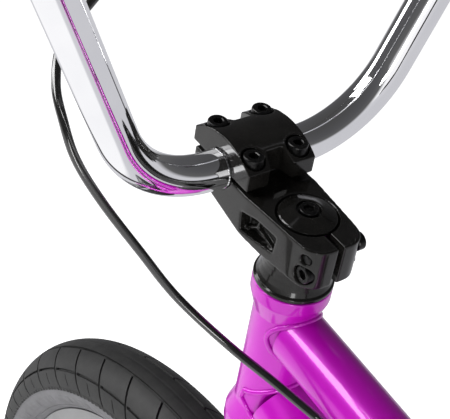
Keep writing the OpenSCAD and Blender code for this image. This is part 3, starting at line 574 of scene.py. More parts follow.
# ---- More mesh helpers ----
def outward(mesh):
    """Turns a mesh's faces outward."""
    bm = bmesh.new()
    bm.from_mesh(mesh)
    bmesh.ops.recalc_face_normals(bm, faces=bm.faces)
    bm.to_mesh(mesh)
    bm.free()


def solid_piece(name, shape, material, body, stands_for=(), sharp=40):
    """A piece from a shape's points and faces, smooth but for edges past an angle in degrees."""
    verts, faces = shape
    mesh = bpy.data.meshes.new(name)
    mesh.from_pydata([tuple(v) for v in verts], [], [tuple(f) for f in faces])
    mesh.update()
    outward(mesh)
    smooth_shade(mesh, sharp)
    return dress(bpy.data.objects.new(name, mesh), material, body, stands_for)


class Parts:
    """Several closed shapes gathered into one mesh."""

    def __init__(self):
        self.verts, self.faces = [], []

    def add(self, shape):
        verts, faces = shape
        base = len(self.verts)
        self.verts += [tuple(v) for v in verts]
        self.faces += [tuple(base + i for i in f) for f in faces]
        return self

    def piece(self, name, material, body, stands_for=(), sharp=40):
        return solid_piece(name, (self.verts, self.faces), material, body, stands_for, sharp)


def turned(loops, centre, axis, side, steps=60):
    """A turned part from loops of (radius, along, sides): 0 sides is round, 6 a hexagon."""
    axis, side = unit(axis), unit(side)
    other = np.cross(axis, side)
    verts = []
    for radius, along, sides in loops:
        for k in range(steps):
            a = 2 * math.pi * k / steps
            r = radius
            if sides:
                wedge = 2 * math.pi / sides
                r = radius / math.cos((a + wedge / 2) % wedge - wedge / 2)
            verts.append(centre + MM * (r * (side * math.cos(a) + other * math.sin(a)) + along * axis))
    faces = grid_faces(len(loops), steps)
    faces.append(tuple(range(steps)))
    faces.append(tuple((len(loops) - 1) * steps + k for k in range(steps)))
    return verts, faces


def cap_bolt(centre, axis, side, shank_r, shank_from, seat, head_r, head_h, dome, socket_r):
    """A socket bolt: seat is where its head starts along the axis."""
    top = seat + head_h
    loops = [(shank_r * 0.7, shank_from, 0), (shank_r, shank_from + 0.6, 0), (shank_r, seat, 0),
        (head_r - 0.3, seat, 0), (head_r, seat + 0.4, 0), (head_r, top - dome, 0)]
    for k in range(1, 6):
        a = k * math.pi / 10
        loops.append((head_r - dome * (1 - math.cos(a)), top - dome + dome * math.sin(a), 0))
    loops += [(socket_r + 0.9, top, 0), (socket_r + 0.45, top - 0.05, 6), (socket_r, top - 0.5, 6),
        (socket_r, top - 0.62 * head_h, 6), (socket_r * 0.6, top - 0.7 * head_h, 0)]
    return turned(loops, centre, axis, side)


def eased(name, node, width, material, body, limit=32):
    """A machined piece: the CAD solid with its edges chamfered smooth."""
    bm = bmesh.new()
    bm.from_mesh(frame["nodes"][node].data)
    bmesh.ops.remove_doubles(bm, verts=bm.verts, dist=MM * 0.002)
    bmesh.ops.dissolve_limit(bm, angle_limit=math.radians(1.2), verts=bm.verts, edges=bm.edges)
    bm.normal_update()
    edges = [e for e in bm.edges if len(e.link_faces) == 2
        and e.calc_face_angle(0) > math.radians(limit)]
    bmesh.ops.bevel(bm, geom=edges, offset=width * MM, offset_type="OFFSET", segments=2,
        profile=0.6, affect="EDGES", clamp_overlap=True)
    mesh = bpy.data.meshes.new(name)
    bm.to_mesh(mesh)
    bm.free()
    smooth_shade(mesh, 35)
    return dress(bpy.data.objects.new(name, mesh), material, body, [node])


def seam(start, along, radius, inside, steps, reach=80.0, sides=None):
    """Where a tube of a radius, running along a direction from start, leaves another solid.

    sides are two directions across the tube, which otherwise are one at right angles to left, and left.
    """
    along = unit(along)
    first, second = sides or (unit(np.cross(along, LEFT)), LEFT)
    points = []
    for k in range(steps):
        a = 2 * math.pi * k / steps
        edge = start + MM * radius * (first * math.cos(a) + second * math.sin(a))
        low, high = 0.0, reach
        for _ in range(30):
            mid = (low + high) / 2
            low, high = (mid, high) if inside(edge + along * mid * MM) else (low, mid)
        points.append(edge + along * low * MM)
    return np.array(points)


WELD_RIPPLE = 0.16
WELD_PITCH = 1.9


def weld(name, path, centre_of, radius, material="frame_paint", body="frame"):
    """A weld bead along a closed seam, with the ripples of its puddles."""
    steps = np.linalg.norm(np.roll(path, -1, axis=0) - path, axis=1)
    run = np.concatenate([[0], np.cumsum(steps)[:-1]]) / MM
    length = run[-1] + steps[-1] / MM
    phase = run / length * max(6, round(length / WELD_PITCH))
    size = radius * MM * (1 + WELD_RIPPLE * (np.abs(np.sin(math.pi * phase)) - 0.5))
    shape = ring_sweep(path, size, centre_of(path), 12)
    return solid_piece(name, shape, material, body, (), 80)


def on_line(start, along):
    """The nearest points of a line to each point."""
    along = unit(along)
    return lambda path: start + np.outer((path - start) @ along, along)


# ---- Frame ----
TOP_FROM = HEAD - UP * TOP_JOIN * MM
DOWN_FROM = HEAD - UP * DOWN_JOIN * MM
TOP_DIR = np.array([-math.cos(math.radians(TOP_SLOPE)), 0, -math.sin(math.radians(TOP_SLOPE))])
DOWN_DIR = unit(CRANK - DOWN_FROM)


def plane_cross(a, b):
    """The turn from one direction to another in the bike's middle plane."""
    return a[0] * b[2] - a[2] * b[0]


TOP_TO = TOP_FROM + TOP_DIR * plane_cross(CRANK - TOP_FROM, SEAT_DIR) / plane_cross(TOP_DIR, SEAT_DIR)


def head_profile(z):
    """Radius of the head tube at a height below its top, in millimetres."""
    return np.interp(z, [-HEAD_LENGTH, 9 - HEAD_LENGTH, 22 - HEAD_LENGTH, -22, -9, 0],
        [HEAD_R, HEAD_R, WAIST_R, WAIST_R, HEAD_R, HEAD_R])


def in_head(p):
    """Whether a point is inside the head tube."""
    q = p - HEAD
    z = q @ UP
    return np.linalg.norm(q - UP * z) < head_profile(z / MM) * MM


def in_rod(start, along, radius):
    """A test for points inside a rod of a radius along a line."""
    along = unit(along)

    def test(p):
        q = p - start
        return np.linalg.norm(q - along * (q @ along)) < radius * MM
    return test


def make_head_tube():
    outer = [(HEAD_R, 0), (HEAD_R, -8.5), (WAIST_R, -21), (WAIST_R, 21 - HEAD_LENGTH),
        (HEAD_R, 8.5 - HEAD_LENGTH), (HEAD_R, -HEAD_LENGTH)]
    cup, bore = 20, 16.6
    inner = [(cup, -HEAD_LENGTH), (cup, 8 - HEAD_LENGTH), (bore, 8 - HEAD_LENGTH), (bore, -8), (cup, -8),
        (cup, 0)]
    profile = round_profile(outer + inner, 3.0, 8)
    shape = lathe(profile, HEAD, UP, AHEAD, 128)
    solid_piece("head_tube_shell", shape, "frame_paint", "frame", ["head_tube"], 30)


TUBE_WALL = 1.4
# A tube starts this far along from the steering axis, and stops this far short of the axis behind
TUBE_START = 14.0
TOP_SHORT = 10.0
DOWN_SHORT = 18.0
HEAD_WELD_R = 1.6
WELD_R = 2.0


def hollow_tube(name, start, along, radius, length, node):
    """A frame tube as a smooth closed shell, long enough to run into both joints."""
    start = start + along * TUBE_START * MM
    bore = radius - TUBE_WALL
    profile = [(radius, 0), (radius, length), (bore, length), (bore, 0)]
    fine = []
    for a, b in zip(profile, profile[1:] + profile[:1]):
        count = max(1, int(abs(b[1] - a[1]) / 12))
        fine += [(a[0] + (b[0] - a[0]) * k / count, a[1] + (b[1] - a[1]) * k / count)
            for k in range(count)]
    shape = lathe(fine, start, along, LEFT, 96)
    return solid_piece(name, shape, "frame_paint", "frame", [node], 50)


def make_main_triangle():
    make_head_tube()
    top_length = np.linalg.norm(TOP_TO - TOP_FROM) / MM
    hollow_tube("top_tube_pipe", TOP_FROM, TOP_DIR, TOP_TUBE_R, top_length - TUBE_START - TOP_SHORT,
        "top_tube")
    down_length = np.linalg.norm(CRANK - DOWN_FROM) / MM
    hollow_tube("down_tube_pipe", DOWN_FROM, DOWN_DIR, DOWN_TUBE_R,
        down_length - TUBE_START - DOWN_SHORT, "down_tube")
    in_seat = in_rod(CRANK, SEAT_DIR, SEAT_TUBE_R)
    in_shell = in_rod(CRANK, LEFT, SHELL_R)
    for name, start, along, radius, inside, bead, steps in (
            ("top_head", TOP_FROM, TOP_DIR, TOP_TUBE_R, in_head, HEAD_WELD_R, 180),
            ("down_head", DOWN_FROM, DOWN_DIR, DOWN_TUBE_R, in_head, HEAD_WELD_R, 180),
            ("top_seat", TOP_TO, -TOP_DIR, TOP_TUBE_R, in_seat, WELD_R, 140),
            ("down_shell", CRANK, -DOWN_DIR, DOWN_TUBE_R, in_shell, WELD_R, 140),
            ("seat_shell", CRANK, SEAT_DIR, SEAT_TUBE_R, in_shell, WELD_R, 140)):
        path = seam(start, along, radius, inside, steps)
        weld("weld_" + name, path, on_line(start, along), bead)


FINE = 1.0


def make_frame():
    make_main_triangle()
    eased("seat_tube_pipe", "seat_tube", 0.6, "frame_paint", "frame")
    eased("crank_shell", "bottom_bracket_shell", 0.7, "frame_paint", "frame")
    forged("chain_stay_pair", ["chain_stays"], 0.9 * FINE, 4, "frame_paint", "frame")
    forged("seat_stay_pair", ["seat_stays"], 0.8 * FINE, 5, "frame_paint", "frame")
    eased("dropout_pair", "dropouts", 0.8, "frame_paint", "frame")
    eased("head_bearing_rings", "headset_bearings", 0.4, "steel_bare", "frame")
    eased("crank_bearing_rings", "bottom_bracket_bearings", 0.4, "steel_bare", "frame")
    eased("seat_clamp_ring", "seat_clamp", 0.6, "black_gloss", "frame")
    eased("seat_clamp_screw", "seat_clamp_bolt", 0.3, "bolt_black", "frame")
    eased("rear_axle_rod", "rear_axle", 0.4, "steel_bare", "frame")
    eased("rear_axle_nut_pair", "rear_axle_nuts", 0.5, "steel_bare", "frame")


# ---- Fork, headset and stem ----
STEERER_R = 19.5
CROWN_Z = -133.0
CROWN_BLADE_R = 12.6
RACE_OUTLINE = [(14.3, -5), (15.05, -5), (15.05, 0.4), (22.5, 0.4), (22.5, 2.6), (21.2, 3.6), (20.2, 6.2),
    (19.0, 10.5), (18.5, 14.2), (18.3, 19.2), (14.3, 19.2)]
CAP_OUTLINE = [(3.1, 42.7), (16.1, 42.7), (16.1, 44.6), (15.4, 45.2), (8.1, 48.2), (7.0, 48.2), (6.4, 46.4),
    (3.1, 46.4)]
CLAMP_BOLT_X = 16.9
CLAMP_BOLT_Y = 14.65
PINCH_BOLT_X = -22.5
# The pinch bolts: height, the side that the head is on, where the head starts, where the shank ends
PINCH_BOLTS = ((27, 1, 12.3, -17), (37.5, -1, 15.0, -16.5))


def make_fork():
    eased("steerer_and_crown", "fork_steerer", 1.0, "frame_paint", "steering")
    forged("fork_leg_pair", ["fork_legs"], 0.85 * FINE, 5, "frame_paint", "steering")
    in_steerer = in_rod(HEAD, UP, STEERER_R)
    for s, side in SIDES:
        start = steer(0, s * 8, CROWN_Z)
        along = unit(steer(2, s * 47, CROWN_Z - 23) - start)
        across = (AHEAD, unit(np.cross(along, AHEAD)))
        path = seam(start, along, CROWN_BLADE_R, in_steerer, 120, 40, across)
        weld("weld_crown_" + side, path, on_line(start, along), 1.9, body="steering")
    eased("front_axle_rod", "front_axle", 0.3, "steel_bare", "steering")
    eased("front_axle_nut_pair", "front_axle_nuts", 0.5, "steel_bare", "steering")


def make_headset():
    shape = lathe(round_profile(RACE_OUTLINE, 0.9, 6), HEAD, UP, AHEAD, 128)
    solid_piece("headset_cover", shape, "black_gloss", "steering", ["headset_top_cap"], 30)
    shape = lathe(round_profile(CAP_OUTLINE, 0.35, 4), HEAD, UP, AHEAD, 128)
    solid_piece("preload_cover", shape, "black_gloss", "steering", ["preload_cap"], 30)
    solid = cap_bolt(HEAD, UP, AHEAD, 3.0, 15, 46.4, 5.4, 2.6, 0.7, 2.7)
    Parts().add(solid).piece("preload_screw", "bolt_black", "steering", ["preload_bolt"], 30)


def make_stem():
    forged("stem_forging", ["stem_body"], 0.46 * FINE, 24, "black_gloss", "steering")
    forged("clamp_plate_forging", ["clamp_plate"], 0.4 * FINE, 22, "black_gloss", "steering")
    bolts = Parts()
    for sx in (-1, 1):
        for sy in (-1, 1):
            at = steer(STEM_REACH + sx * CLAMP_BOLT_X, sy * CLAMP_BOLT_Y, 0)
            turn = unit(AHEAD + 0.35 * sx * sy * LEFT)
            bolts.add(cap_bolt(at, UP, turn, 3.0, 27, 58.1, 5.75, 6.0, 1.3, 2.5))
    bolts.piece("clamp_screws", "bolt_black", "steering", ["clamp_bolts"], 30)
    pinch = Parts()
    for height, s, seat, tip in PINCH_BOLTS:
        at = steer(PINCH_BOLT_X, 0, height)
        pinch.add(cap_bolt(at, LEFT * s, UP, 3.0, tip, seat, 5.0, 4.7, 0.7, 2.6))
    pinch.piece("pinch_screws", "bolt_black", "steering", ["pinch_bolts"], 30)


# ---- Handlebar ----
BAR_TOP_Y = BAR_BEND_AT + BAR_RISE * math.tan(math.radians(UPRIGHT_LEAN))
BAR_TOP = np.array([STEM_REACH + UPRIGHT_FORE, BAR_TOP_Y, CLAMP_Z + BAR_RISE])
GRIP_RUN = BAR_HALF - BAR_TOP_Y
BAR_END = BAR_TOP + np.array([-GRIP_RUN * math.tan(math.radians(BACK_SWEEP)), GRIP_RUN,
    GRIP_RUN * math.tan(math.radians(UP_SWEEP))])
BAR_LINE = [BAR_END * (1, -1, 1), BAR_TOP * (1, -1, 1), (STEM_REACH, -BAR_BEND_AT, CLAMP_Z),
    (STEM_REACH, BAR_BEND_AT, CLAMP_Z), BAR_TOP, BAR_END]


def steer_path(path):
    return np.array([steer(*p) for p in path])


def make_handlebar():
    path = fill_path(bend_path(BAR_LINE, [TOP_BEND_R, BEND_R, BEND_R, TOP_BEND_R], 28), 5.0)
    shape = sweep(steer_path(path), BAR_R * MM, AHEAD, 64)
    solid_piece("bar_tube", shape, "chrome_plate", "steering", ["handlebar"], 50)
    make_crossbar()
    make_knurl()


def make_crossbar():
    """The crossbar between the uprights, with a weld at each end."""
    low = np.array([STEM_REACH, BAR_BEND_AT, CLAMP_Z])
    at = low + (BAR_TOP - low) * (CROSSBAR_Z - CLAMP_Z) / BAR_RISE
    half = at[1] - 3
    path = [(at[0], -half + 2 * half * k / 40, at[2]) for k in range(41)]
    shape = sweep(steer_path(path), CROSSBAR_R * MM, AHEAD, 48)
    solid_piece("cross_tube", shape, "chrome_plate", "steering", ["crossbar"], 50)
    for s, side in SIDES:
        flip = np.array([1, s, 1])
        upright = steer_path([low * flip, BAR_TOP * flip])
        in_upright = in_rod(upright[0], upright[1] - upright[0], BAR_R)
        middle = steer(*(at * flip))
        path = seam(middle, -LEFT * s, CROSSBAR_R, in_upright, 90, 40, (AHEAD, UP))
        weld("weld_crossbar_" + side, path, on_line(middle, LEFT), 1.5, "chrome_plate", "steering")


KNURL_TEETH = 40
KNURL_FROM = 22.6
KNURL_WIDTH = 1.0
KNURL_BASE = 0.03
KNURL_PEAK = 0.35


def make_knurl():
    """A ring of small pyramids just outside the clamp on each side, which stop the bar turning."""
    rows, cols = 3, 2 * KNURL_TEETH
    for s, side in SIDES:
        verts = []
        for i in range(rows):
            for k in range(cols):
                a = 2 * math.pi * (k + 0.5 * (i // 2)) / cols
                r = BAR_R + (KNURL_PEAK if i == 1 and k % 2 == 0 else KNURL_BASE)
                y = s * (KNURL_FROM + KNURL_WIDTH * i / (rows - 1))
                verts.append(steer(STEM_REACH + r * math.cos(a), y, CLAMP_Z + r * math.sin(a)))
        faces = grid_faces(rows, cols)
        faces.append(tuple(range(cols)))
        faces.append(tuple((rows - 1) * cols + k for k in range(cols)))
        solid_piece("bar_knurl_" + side, (verts, faces), "chrome_plate", "steering", (), 20)


RIBS = 26
RIB_PITCH = 4.6


def make_grips():
    """The ribbed grips, each from its flange to its closed end."""
    direction = unit(BAR_END - BAR_TOP)
    end = GRIP_LENGTH
    groove_r = GRIP_R - 0.9
    profile = [(BAR_R, 0.3), (23, 0.3), (24, 1.0), (24, 3.2), (23, 4.2), (16.4, 5.2)]
    for k in range(RIBS):
        z = 6.2 + k * RIB_PITCH
        profile += [(groove_r, z), (groove_r, z + 1.3), (GRIP_R, z + 1.7), (GRIP_R, z + 3.5),
            (groove_r, z + 3.9)]
    profile += [(14.6, end - 5.2), (16.8, end - 4), (17.0, end - 3), (17.0, end - 1), (16.3, end),
        (BAR_R, end)]
    for s, side in SIDES:
        flip = np.array([1, s, 1])
        start = steer(*((BAR_END - direction * GRIP_LENGTH) * flip))
        shape = lathe(profile, start, steer(*(BAR_END * flip)) - start, UP, 72)
        node = ["grips"] if s > 0 else []
        solid_piece("grip_" + side, shape, "rubber_grip", "steering", node, 40)
    eased("bar_end_plugs", "bar_plugs", 0.5, "plastic_black", "steering")


def make_lever():
    forged("lever_mount", ["lever_bracket"], 0.45 * FINE, 6, "black_gloss", "steering")
    forged("lever_blade", ["brake_lever"], 0.4 * FINE, 8, "black_gloss", "brake_lever")
    eased("lever_pivot_pin", "lever_pin", 0.4, "steel_bare", "steering")


# ---- Wheels ----
PITCHES = 42
CENTRE_LINE = 231.0
SECTION_H = 26.5
SECTION_W = 28.3
BEAD_ANGLE = 145.0
# The cross grooves lean by SLANT degrees in SLANT_RUN millimetres, less beyond SLANT_EASE
SLANT = 2.9
SLANT_RUN = 20.0
SLANT_EASE = 3.4
# Inner corners of the casing, where it sits in the rim
BEAD_Y = 14.4
BEAD_R = 206.5
# Bands across one side of the tread, in millimetres of arc from its middle
SEAM_HALF = 0.5
INNER_GROOVE = (9.0, 11.0)
CROSS_GROOVE = (9.0, 44.5)
OUTER_GROOVE = (29.2, 30.8)
NICK = (33.3, 41.5)
EDGE_RIB = (43.7, 46.2)
WALL_BLOCKS = (51.2, 57.2)
RIM_LINE = (61.2, 62.4)
# From this arc on, the tyre takes the lighter rubber that paints the sidewall's sheen
WALL_FROM = 45.0


def tyre_rows():
    """Arc distances across one side of the tread, in millimetres, finer at its grooves."""
    marks = [0, 0.35, 0.8, 2.5, 5, 7.5, 8.8, 9.1, 10.9, 11.2, 13, 16, 19, 22, 25, 28, 29.0, 29.3, 30.7,
        31.0, 33, 33.6, 36, 38.5, 41, 41.8, 43.4, 44.0, 44.6, 45.8, 46.4, 48, 50, 51, 51.4, 54, 57, 57.4, 59,
        61, 61.4, 62.2, 62.6, 64, 66, 68, 69]
    return np.array(marks)


def tyre_columns():
    """Places along one pitch of the tread, in millimetres from its cross groove, finer at grooves."""
    marks = [-1.15, -0.75, 0.75, 1.15, 2.2, 3.0, 6.2, 10, 13.4, 16.2, 17.8, 18.6, 18.9, 19.6, 19.9, 20.7,
        22.4, 25.4, 29, 32.6, 35.2]
    return np.array(marks)


def tread_height(u, v, pitch, side):
    """Depth or rise of the tread, in millimetres, u across it and v along it."""
    def within(band):
        return band[0] < u < band[1]

    turn = v / pitch * 2 * math.pi
    depth = 0.0
    if u < SEAM_HALF:
        depth = -0.12
    if within(INNER_GROOVE):
        depth = -2.4 * (1.0 - 0.4 * v / pitch)
    if within(CROSS_GROOVE) and abs(v) < 1.0:
        depth = -2.2 if u < 31 else -2.2 + 1.2 * (u - 31) / 13.5
    if within(OUTER_GROOVE) and 2.6 < v < pitch - 1:
        depth = min(depth, -2.0)
    if within(NICK) and 18.8 < v < 19.7:
        depth = -0.9
    if within(EDGE_RIB):
        depth = 0.45 + 0.35 * math.cos(turn * 6)
    if within(WALL_BLOCKS):
        beat = math.sin(side * 2.1 + turn * 3) + math.sin(turn * 7)
        depth = 0.35 if beat > 0.15 else 0.0
    if within(RIM_LINE):
        depth = -0.6
    if u > RIM_LINE[1]:
        depth = -0.15
    return depth


def tyre_piece(name, centre, body, node):
    """A tyre: its tread's grid of points wrapped over the casing, closed by a flat band at the rim."""
    rows, marks = tyre_rows(), tyre_columns()
    pitch = 2 * math.pi * TYRE_R / PITCHES
    angles = np.linspace(0, math.radians(BEAD_ANGLE), 600)
    arc = np.concatenate([[0], np.cumsum(np.hypot(np.diff(SECTION_W * np.sin(angles)),
        np.diff(SECTION_H * np.cos(angles))))])
    rows = rows[rows < arc[-1]]
    across = [(-1, u) for u in rows[::-1]] + [(1, u) for u in rows[1:]]
    cols = PITCHES * len(marks)
    verts = []
    for side, u in across:
        phi = np.interp(u, arc, angles)
        slant = SLANT * max(0.0, u - 10) / SLANT_RUN
        slant = math.radians(min(slant, SLANT_EASE + 0.4 * slant))
        offset = 0.5 if side < 0 and u > 0 else 0
        for p in range(PITCHES):
            for v in marks:
                h = tread_height(u, v, pitch, side)
                a = math.radians((p + offset) * 360 / PITCHES) + v / TYRE_R + slant
                y = side * (SECTION_W + h) * math.sin(phi)
                r = CENTRE_LINE + (SECTION_H + h) * math.cos(phi)
                verts.append(centre + MM * np.array([r * math.cos(a), y, r * math.sin(a)]))
    for y in (BEAD_Y, -BEAD_Y):
        for p in range(PITCHES):
            for v in marks:
                a = math.radians(p * 360 / PITCHES) + v / TYRE_R
                verts.append(centre + MM * np.array([BEAD_R * math.cos(a), y, BEAD_R * math.sin(a)]))
    total = len(across) + 2
    faces = grid_faces(total, cols, True)
    piece = solid_piece(name, (verts, faces), "tyre_rubber", body, [node], 28)
    # Faces past WALL_FROM take the lighter rubber, whose colour paints the sheen of grazing light on the
    # black sidewall
    piece.data.materials.append(MATS["painted_wall_sheen"])
    wall = []
    for i in range(total):
        u = min(across[i][1], across[i + 1][1]) if i + 1 < len(across) else WALL_FROM + 1
        wall += [1 if u > WALL_FROM else 0] * cols
    piece.data.polygons.foreach_set("material_index", wall)
    return piece


def in_hub_frame(centre, radius, angle, y):
    """A point of a wheel, by radius, angle in degrees and distance left of its middle."""
    a = math.radians(angle)
    return centre + MM * np.array([radius * math.cos(a), y, radius * math.sin(a)])


SPOKES = 36
# A spoke's rim end is this many degrees round from its hub end
SPOKE_LEAD = 60.0


def make_nipples(name, centre, body):
    """The nipples that hold the spokes in the rim, and the valve."""
    parts = Parts()
    for i in range(SPOKES):
        side = 1 if i % 2 == 0 else -1
        k = i // 2
        lead = 1 if k % 2 == 0 else -1
        start = k * 720 / SPOKES + (360 / SPOKES if side < 0 else 0)
        finish = start + lead * SPOKE_LEAD
        outer = in_hub_frame(centre, 187.5, finish, side * 2.5)
        inner = in_hub_frame(centre, 27, start, side * 33)
        along = unit(inner - outer)
        loops = [(2.6, -3, 0), (2.6, 0.5, 0), (1.9, 1.4, 0), (1.75, 2.2, 4), (1.75, 8.5, 4), (1.6, 11, 0),
            (1.3, 12, 0)]
        parts.add(turned(loops, outer, along, LEFT, 16))
    valve = in_hub_frame(centre, 188, 5, 0)
    parts.add(turned([(3.4, -6, 0), (3.4, 8, 0), (2.9, 9, 0), (2.7, 22, 0), (3.9, 22.5, 0), (3.9, 31, 0),
        (3.3, 32.5, 0), (2.2, 33, 0)], valve, unit(centre - valve), LEFT, 24))
    return parts.piece(name, "steel_bare", body)


def make_wheel(which, centre, body):
    tyre_piece(which + "_tyre_casing", centre, body, which + "_tyre")
    eased(which + "_rim_ring", which + "_rim", 0.8, "rim_alloy", body, 25)
    make_nipples(which + "_nipples", centre, body)
    eased(which + "_hub_shell", which + "_hub", 0.6, "hub_alloy", body)
    eased(which + "_bearing_rings", which + "_hub_bearings", 0.3, "steel_bare", body)
    node = frame["nodes"][which + "_spokes"]
    node.data.materials.clear()
    node.data.materials.append(MATS["steel_bare"])


# ---- Drive ----
def make_drive():
    make_chain()
    eased("driver_cog", "driver", 0.3, "steel_bare", "driver")
    eased("sprocket_disc", "sprocket", 0.4, "black_gloss", "crank")
    eased("spindle", "crank_spindle", 0.4, "steel_bare", "crank")
    forged("crank_arm_pair", ["crank_arms"], 0.65 * FINE, 6, "black_gloss", "crank")
    eased("crank_screws", "crank_bolts", 0.4, "bolt_black", "crank")
    eased("pedal_axle_pair", "pedal_axles", 0.4, "steel_bare", "crank")
    for side in ("left", "right"):
        forged("pedal_body_" + side, ["pedal_" + side], 0.7 * FINE, 3, "plastic_black", "pedal_" + side)


ROLLER_R = 3.9
PLATE_R = 4.1
PLATE_WAIST = 2.9
INNER_PLATE = (1.75, 2.65)
OUTER_PLATE = (2.75, 3.6)


def make_chain():
    """The chain's plates and rollers, link by link along its run."""
    rs = PITCH / 2 / math.sin(math.pi / SPROCKET_TEETH)
    rd = PITCH / 2 / math.sin(math.pi / DRIVER_TEETH)
    gap = np.linalg.norm(REAR_AXLE - CRANK) / MM
    wrap = math.asin((rs - rd) / gap)
    run = gap * math.cos(wrap)
    front = rs * (math.pi + 2 * wrap)
    rear = rd * (math.pi - 2 * wrap)
    total = 2 * run + front + rear
    count = 2 * round(total / PITCH / 2)
    back = unit(REAR_AXLE - CRANK)
    rise = np.array([-back[2], 0, back[0]])
    if rise[2] < 0:
        rise = -rise

    def at(s):
        """The point at a distance along the chain, from the front of its upper run."""
        s = s % total
        if s < run:
            p = np.array([rs * math.sin(wrap), rs * math.cos(wrap)])
            p = p + s * np.array([math.cos(wrap), -math.sin(wrap)])
        elif s < run + rear:
            g = math.pi / 2 - wrap - (s - run) / rd
            p = np.array([gap + rd * math.cos(g), rd * math.sin(g)])
        elif s < 2 * run + rear:
            p = np.array([gap + rd * math.sin(wrap), -rd * math.cos(wrap)])
            p = p - (s - run - rear) * np.array([math.cos(wrap), math.sin(wrap)])
        else:
            g = 1.5 * math.pi + wrap - (s - 2 * run - rear) / rs
            p = rs * np.array([math.cos(g), math.sin(g)])
        return CRANK + MM * (back * p[0] + rise * p[1] + LEFT * CHAIN_Y)

    step = total / count
    plates, rollers = Parts(), Parts()
    for i in range(count):
        a, b = at(i * step), at((i + 1) * step)
        along = unit(b - a)
        up = np.cross(LEFT, along)
        outline = plate_outline(np.linalg.norm(b - a) / MM)
        for s in (-1, 1):
            depth = INNER_PLATE if i % 2 == 0 else OUTER_PLATE
            verts = [a + MM * (along * x + up * z + LEFT * s * y) for y in depth for x, z in outline]
            n = len(outline)
            faces = [tuple(range(n)), tuple(range(n, 2 * n))]
            faces += [(k, (k + 1) % n, n + (k + 1) % n, n + k) for k in range(n)]
            plates.add((verts, faces))
        rollers.add(turned([(ROLLER_R, -1.6, 0), (ROLLER_R, 1.6, 0)], a, LEFT, along, 16))
        pin = [(1.5, -4.1, 0), (1.8, -3.8, 0), (1.8, 3.8, 0), (1.5, 4.1, 0)]
        rollers.add(turned(pin, a, LEFT, along, 12))
    plates.piece("chain_plates", "steel_bare", "frame", ["chain"], 30)
    rollers.piece("chain_rollers", "steel_bare", "frame", (), 30)


def plate_outline(length):
    """Outline of one chain plate: two round ends and a waist."""
    out = []
    for end, turn, waist in ((0, -0.5, PLATE_WAIST), (length, 0.5, -PLATE_WAIST)):
        for k in range(9):
            a = math.pi * (turn - k / 8)
            out.append((end + PLATE_R * math.cos(a), PLATE_R * math.sin(a)))
        out.append((length / 2, waist))
    return out


# ---- Brake and cables ----
BARS_ROUTE = [(335.5, -195, 939), (343, -165, 938), (358, -120, 930), (377, -70, 911),
    (396, -20, 881), (409, 25, 846), (413, 60, 815)]
LOOP_ROUTE = [(413, 60, 815), (405, 88, 796), (390, 102, 780), (377, 106, 764), (370, 104, 745),
    (364, 94, 721), (356, 78, 691), (347, 62, 662), (328, 43, 635), (302, 31, 620), (277, 22, 608)]
FRAME_ROUTE = [(277, 22, 608), (240, 20, 594), (200, 20, 580), (100, 20, 545), (0, 20, 511),
    (-100, 20, 476), (-150, 21, 461), (-185, 22, 455), (-206, 19, 455), (-222, 10, 453),
    (-230, 1, 446)]


CLIPS_AT = (170, 300, 430)
CLIP_OUTLINE = ((-2.2, -0.5), (2.2, -0.5), (2.2, 0.45), (1.7, 0.8), (-1.7, 0.8), (-2.2, 0.45))


def cable(name, route, body, node, ref):
    path = fill_path(smooth_route(route, 14), 0.003)
    shape = sweep(path, CABLE_R * MM, ref, 24)
    return solid_piece(name, shape, "cable_black", body, [node], 50)


def make_cables():
    cable("cable_on_bars", BARS_ROUTE, "steering", "brake_cable_bars", (1, 0, 0))
    loop = cable("cable_loop", LOOP_ROUTE, None, "brake_cable_loop", (1, 0, 0))
    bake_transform(loop)
    cable("cable_on_frame", FRAME_ROUTE, "frame", "brake_cable_frame", (0, 1, 0))
    clips = Parts()
    for along in CLIPS_AT:
        clips.add(clip_band(TOP_FROM + TOP_DIR * along * MM))
    clips.piece("cable_clips", "plastic_black", "frame")


def clip_band(at):
    """A strap round the top tube and over the cable beside it."""
    over = np.cross(LEFT, TOP_DIR)
    if over[2] < 0:
        over = -over
    path = []
    for k in range(96):
        a = 2 * math.pi * k / 96
        path.append(at + MM * (TOP_TUBE_R + 0.6) * (LEFT * math.cos(a) + over * math.sin(a)))
    path = np.array(path)
    verts = []
    for p in path:
        out = unit(p - at)
        verts += [p + MM * (TOP_DIR * w + out * h) for w, h in CLIP_OUTLINE]
    return verts, grid_faces(len(path), 6, True)


def make_brake():
    for side in ("left", "right"):
        forged("brake_arm_forging_" + side, ["brake_arm_" + side], 0.5 * FINE, 6, "black_gloss",
            "brake_arm_" + side)


# ---- Seat ----
def make_seat():
    eased("seat_pillar", "seat_post", 0.6, "black_gloss", "seat")
    forged("saddle_shell", ["saddle_base"], 0.9 * FINE, 5, "plastic_black", "saddle")
    eased("saddle_screw", "saddle_pivot_bolt", 0.4, "bolt_black", "saddle")
    make_cushion()


CUSHION_VOXEL = 4.0
CUSHION_SHRINK = (0.985, 0.97, 0.94)
CUSHION_SWELL = 3.0
CLOTH_FRAMES = 20


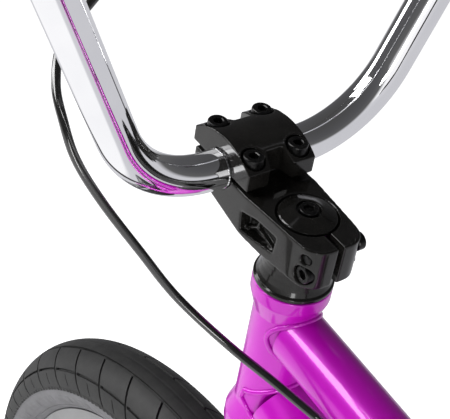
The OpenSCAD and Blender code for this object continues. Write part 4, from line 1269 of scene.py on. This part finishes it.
def make_cushion():
    """The padded saddle cover: the CAD pad, drawn in a little and then swelled as cloth."""
    piece = bpy.data.objects.new("saddle_cushion", frame["nodes"]["saddle_pad"].data.copy())
    bpy.context.collection.objects.link(piece)
    remesh = piece.modifiers.new("remesh", "REMESH")
    remesh.mode = "VOXEL"
    remesh.voxel_size = CUSHION_VOXEL * MM
    final_mesh(piece, "saddle_cushion")
    n = len(piece.data.vertices)
    before = np.empty(n * 3)
    piece.data.vertices.foreach_get("co", before)
    before = before.reshape(-1, 3)
    centre = before.mean(axis=0)
    before = centre + (before - centre) * CUSHION_SHRINK
    piece.data.vertices.foreach_set("co", before.ravel())
    piece.data.update()
    inflate(piece, before, CUSHION_SWELL * MM)
    smooth = piece.modifiers.new("round", "SUBSURF")
    smooth.levels = smooth.render_levels = 1
    smooth_shade(piece.data)
    dress(piece, "saddle_cover", "saddle", ["saddle_pad"])


def inflate(piece, before, most):
    """Cloth swelled from inside, with each point held within a distance of where it began."""
    scene = bpy.context.scene
    cloth = piece.modifiers.new("cloth", "CLOTH")
    settings = cloth.settings
    settings.use_pressure = True
    settings.uniform_pressure_force = 4
    settings.effector_weights.gravity = 0
    settings.quality = 6
    for f in range(1, CLOTH_FRAMES + 1):
        scene.frame_set(f)
    graph = bpy.context.evaluated_depsgraph_get()
    result = piece.evaluated_get(graph).to_mesh()
    after = np.empty(len(before) * 3)
    result.vertices.foreach_get("co", after)
    piece.evaluated_get(graph).to_mesh_clear()
    after = after.reshape(-1, 3)
    move = after - before
    size = np.linalg.norm(move, axis=1)[:, None]
    move *= np.minimum(1, most / np.maximum(size, 1e-9))
    piece.modifiers.clear()
    scene.frame_set(1)
    piece.data.vertices.foreach_set("co", (before + move).ravel())
    piece.data.update()


make_frame()
make_fork()
make_headset()
make_stem()
make_handlebar()
make_grips()
make_lever()
make_cables()
make_wheel("front", FRONT_AXLE, "front_wheel")
make_wheel("rear", REAR_AXLE, "rear_wheel")
make_drive()
make_brake()
make_seat()
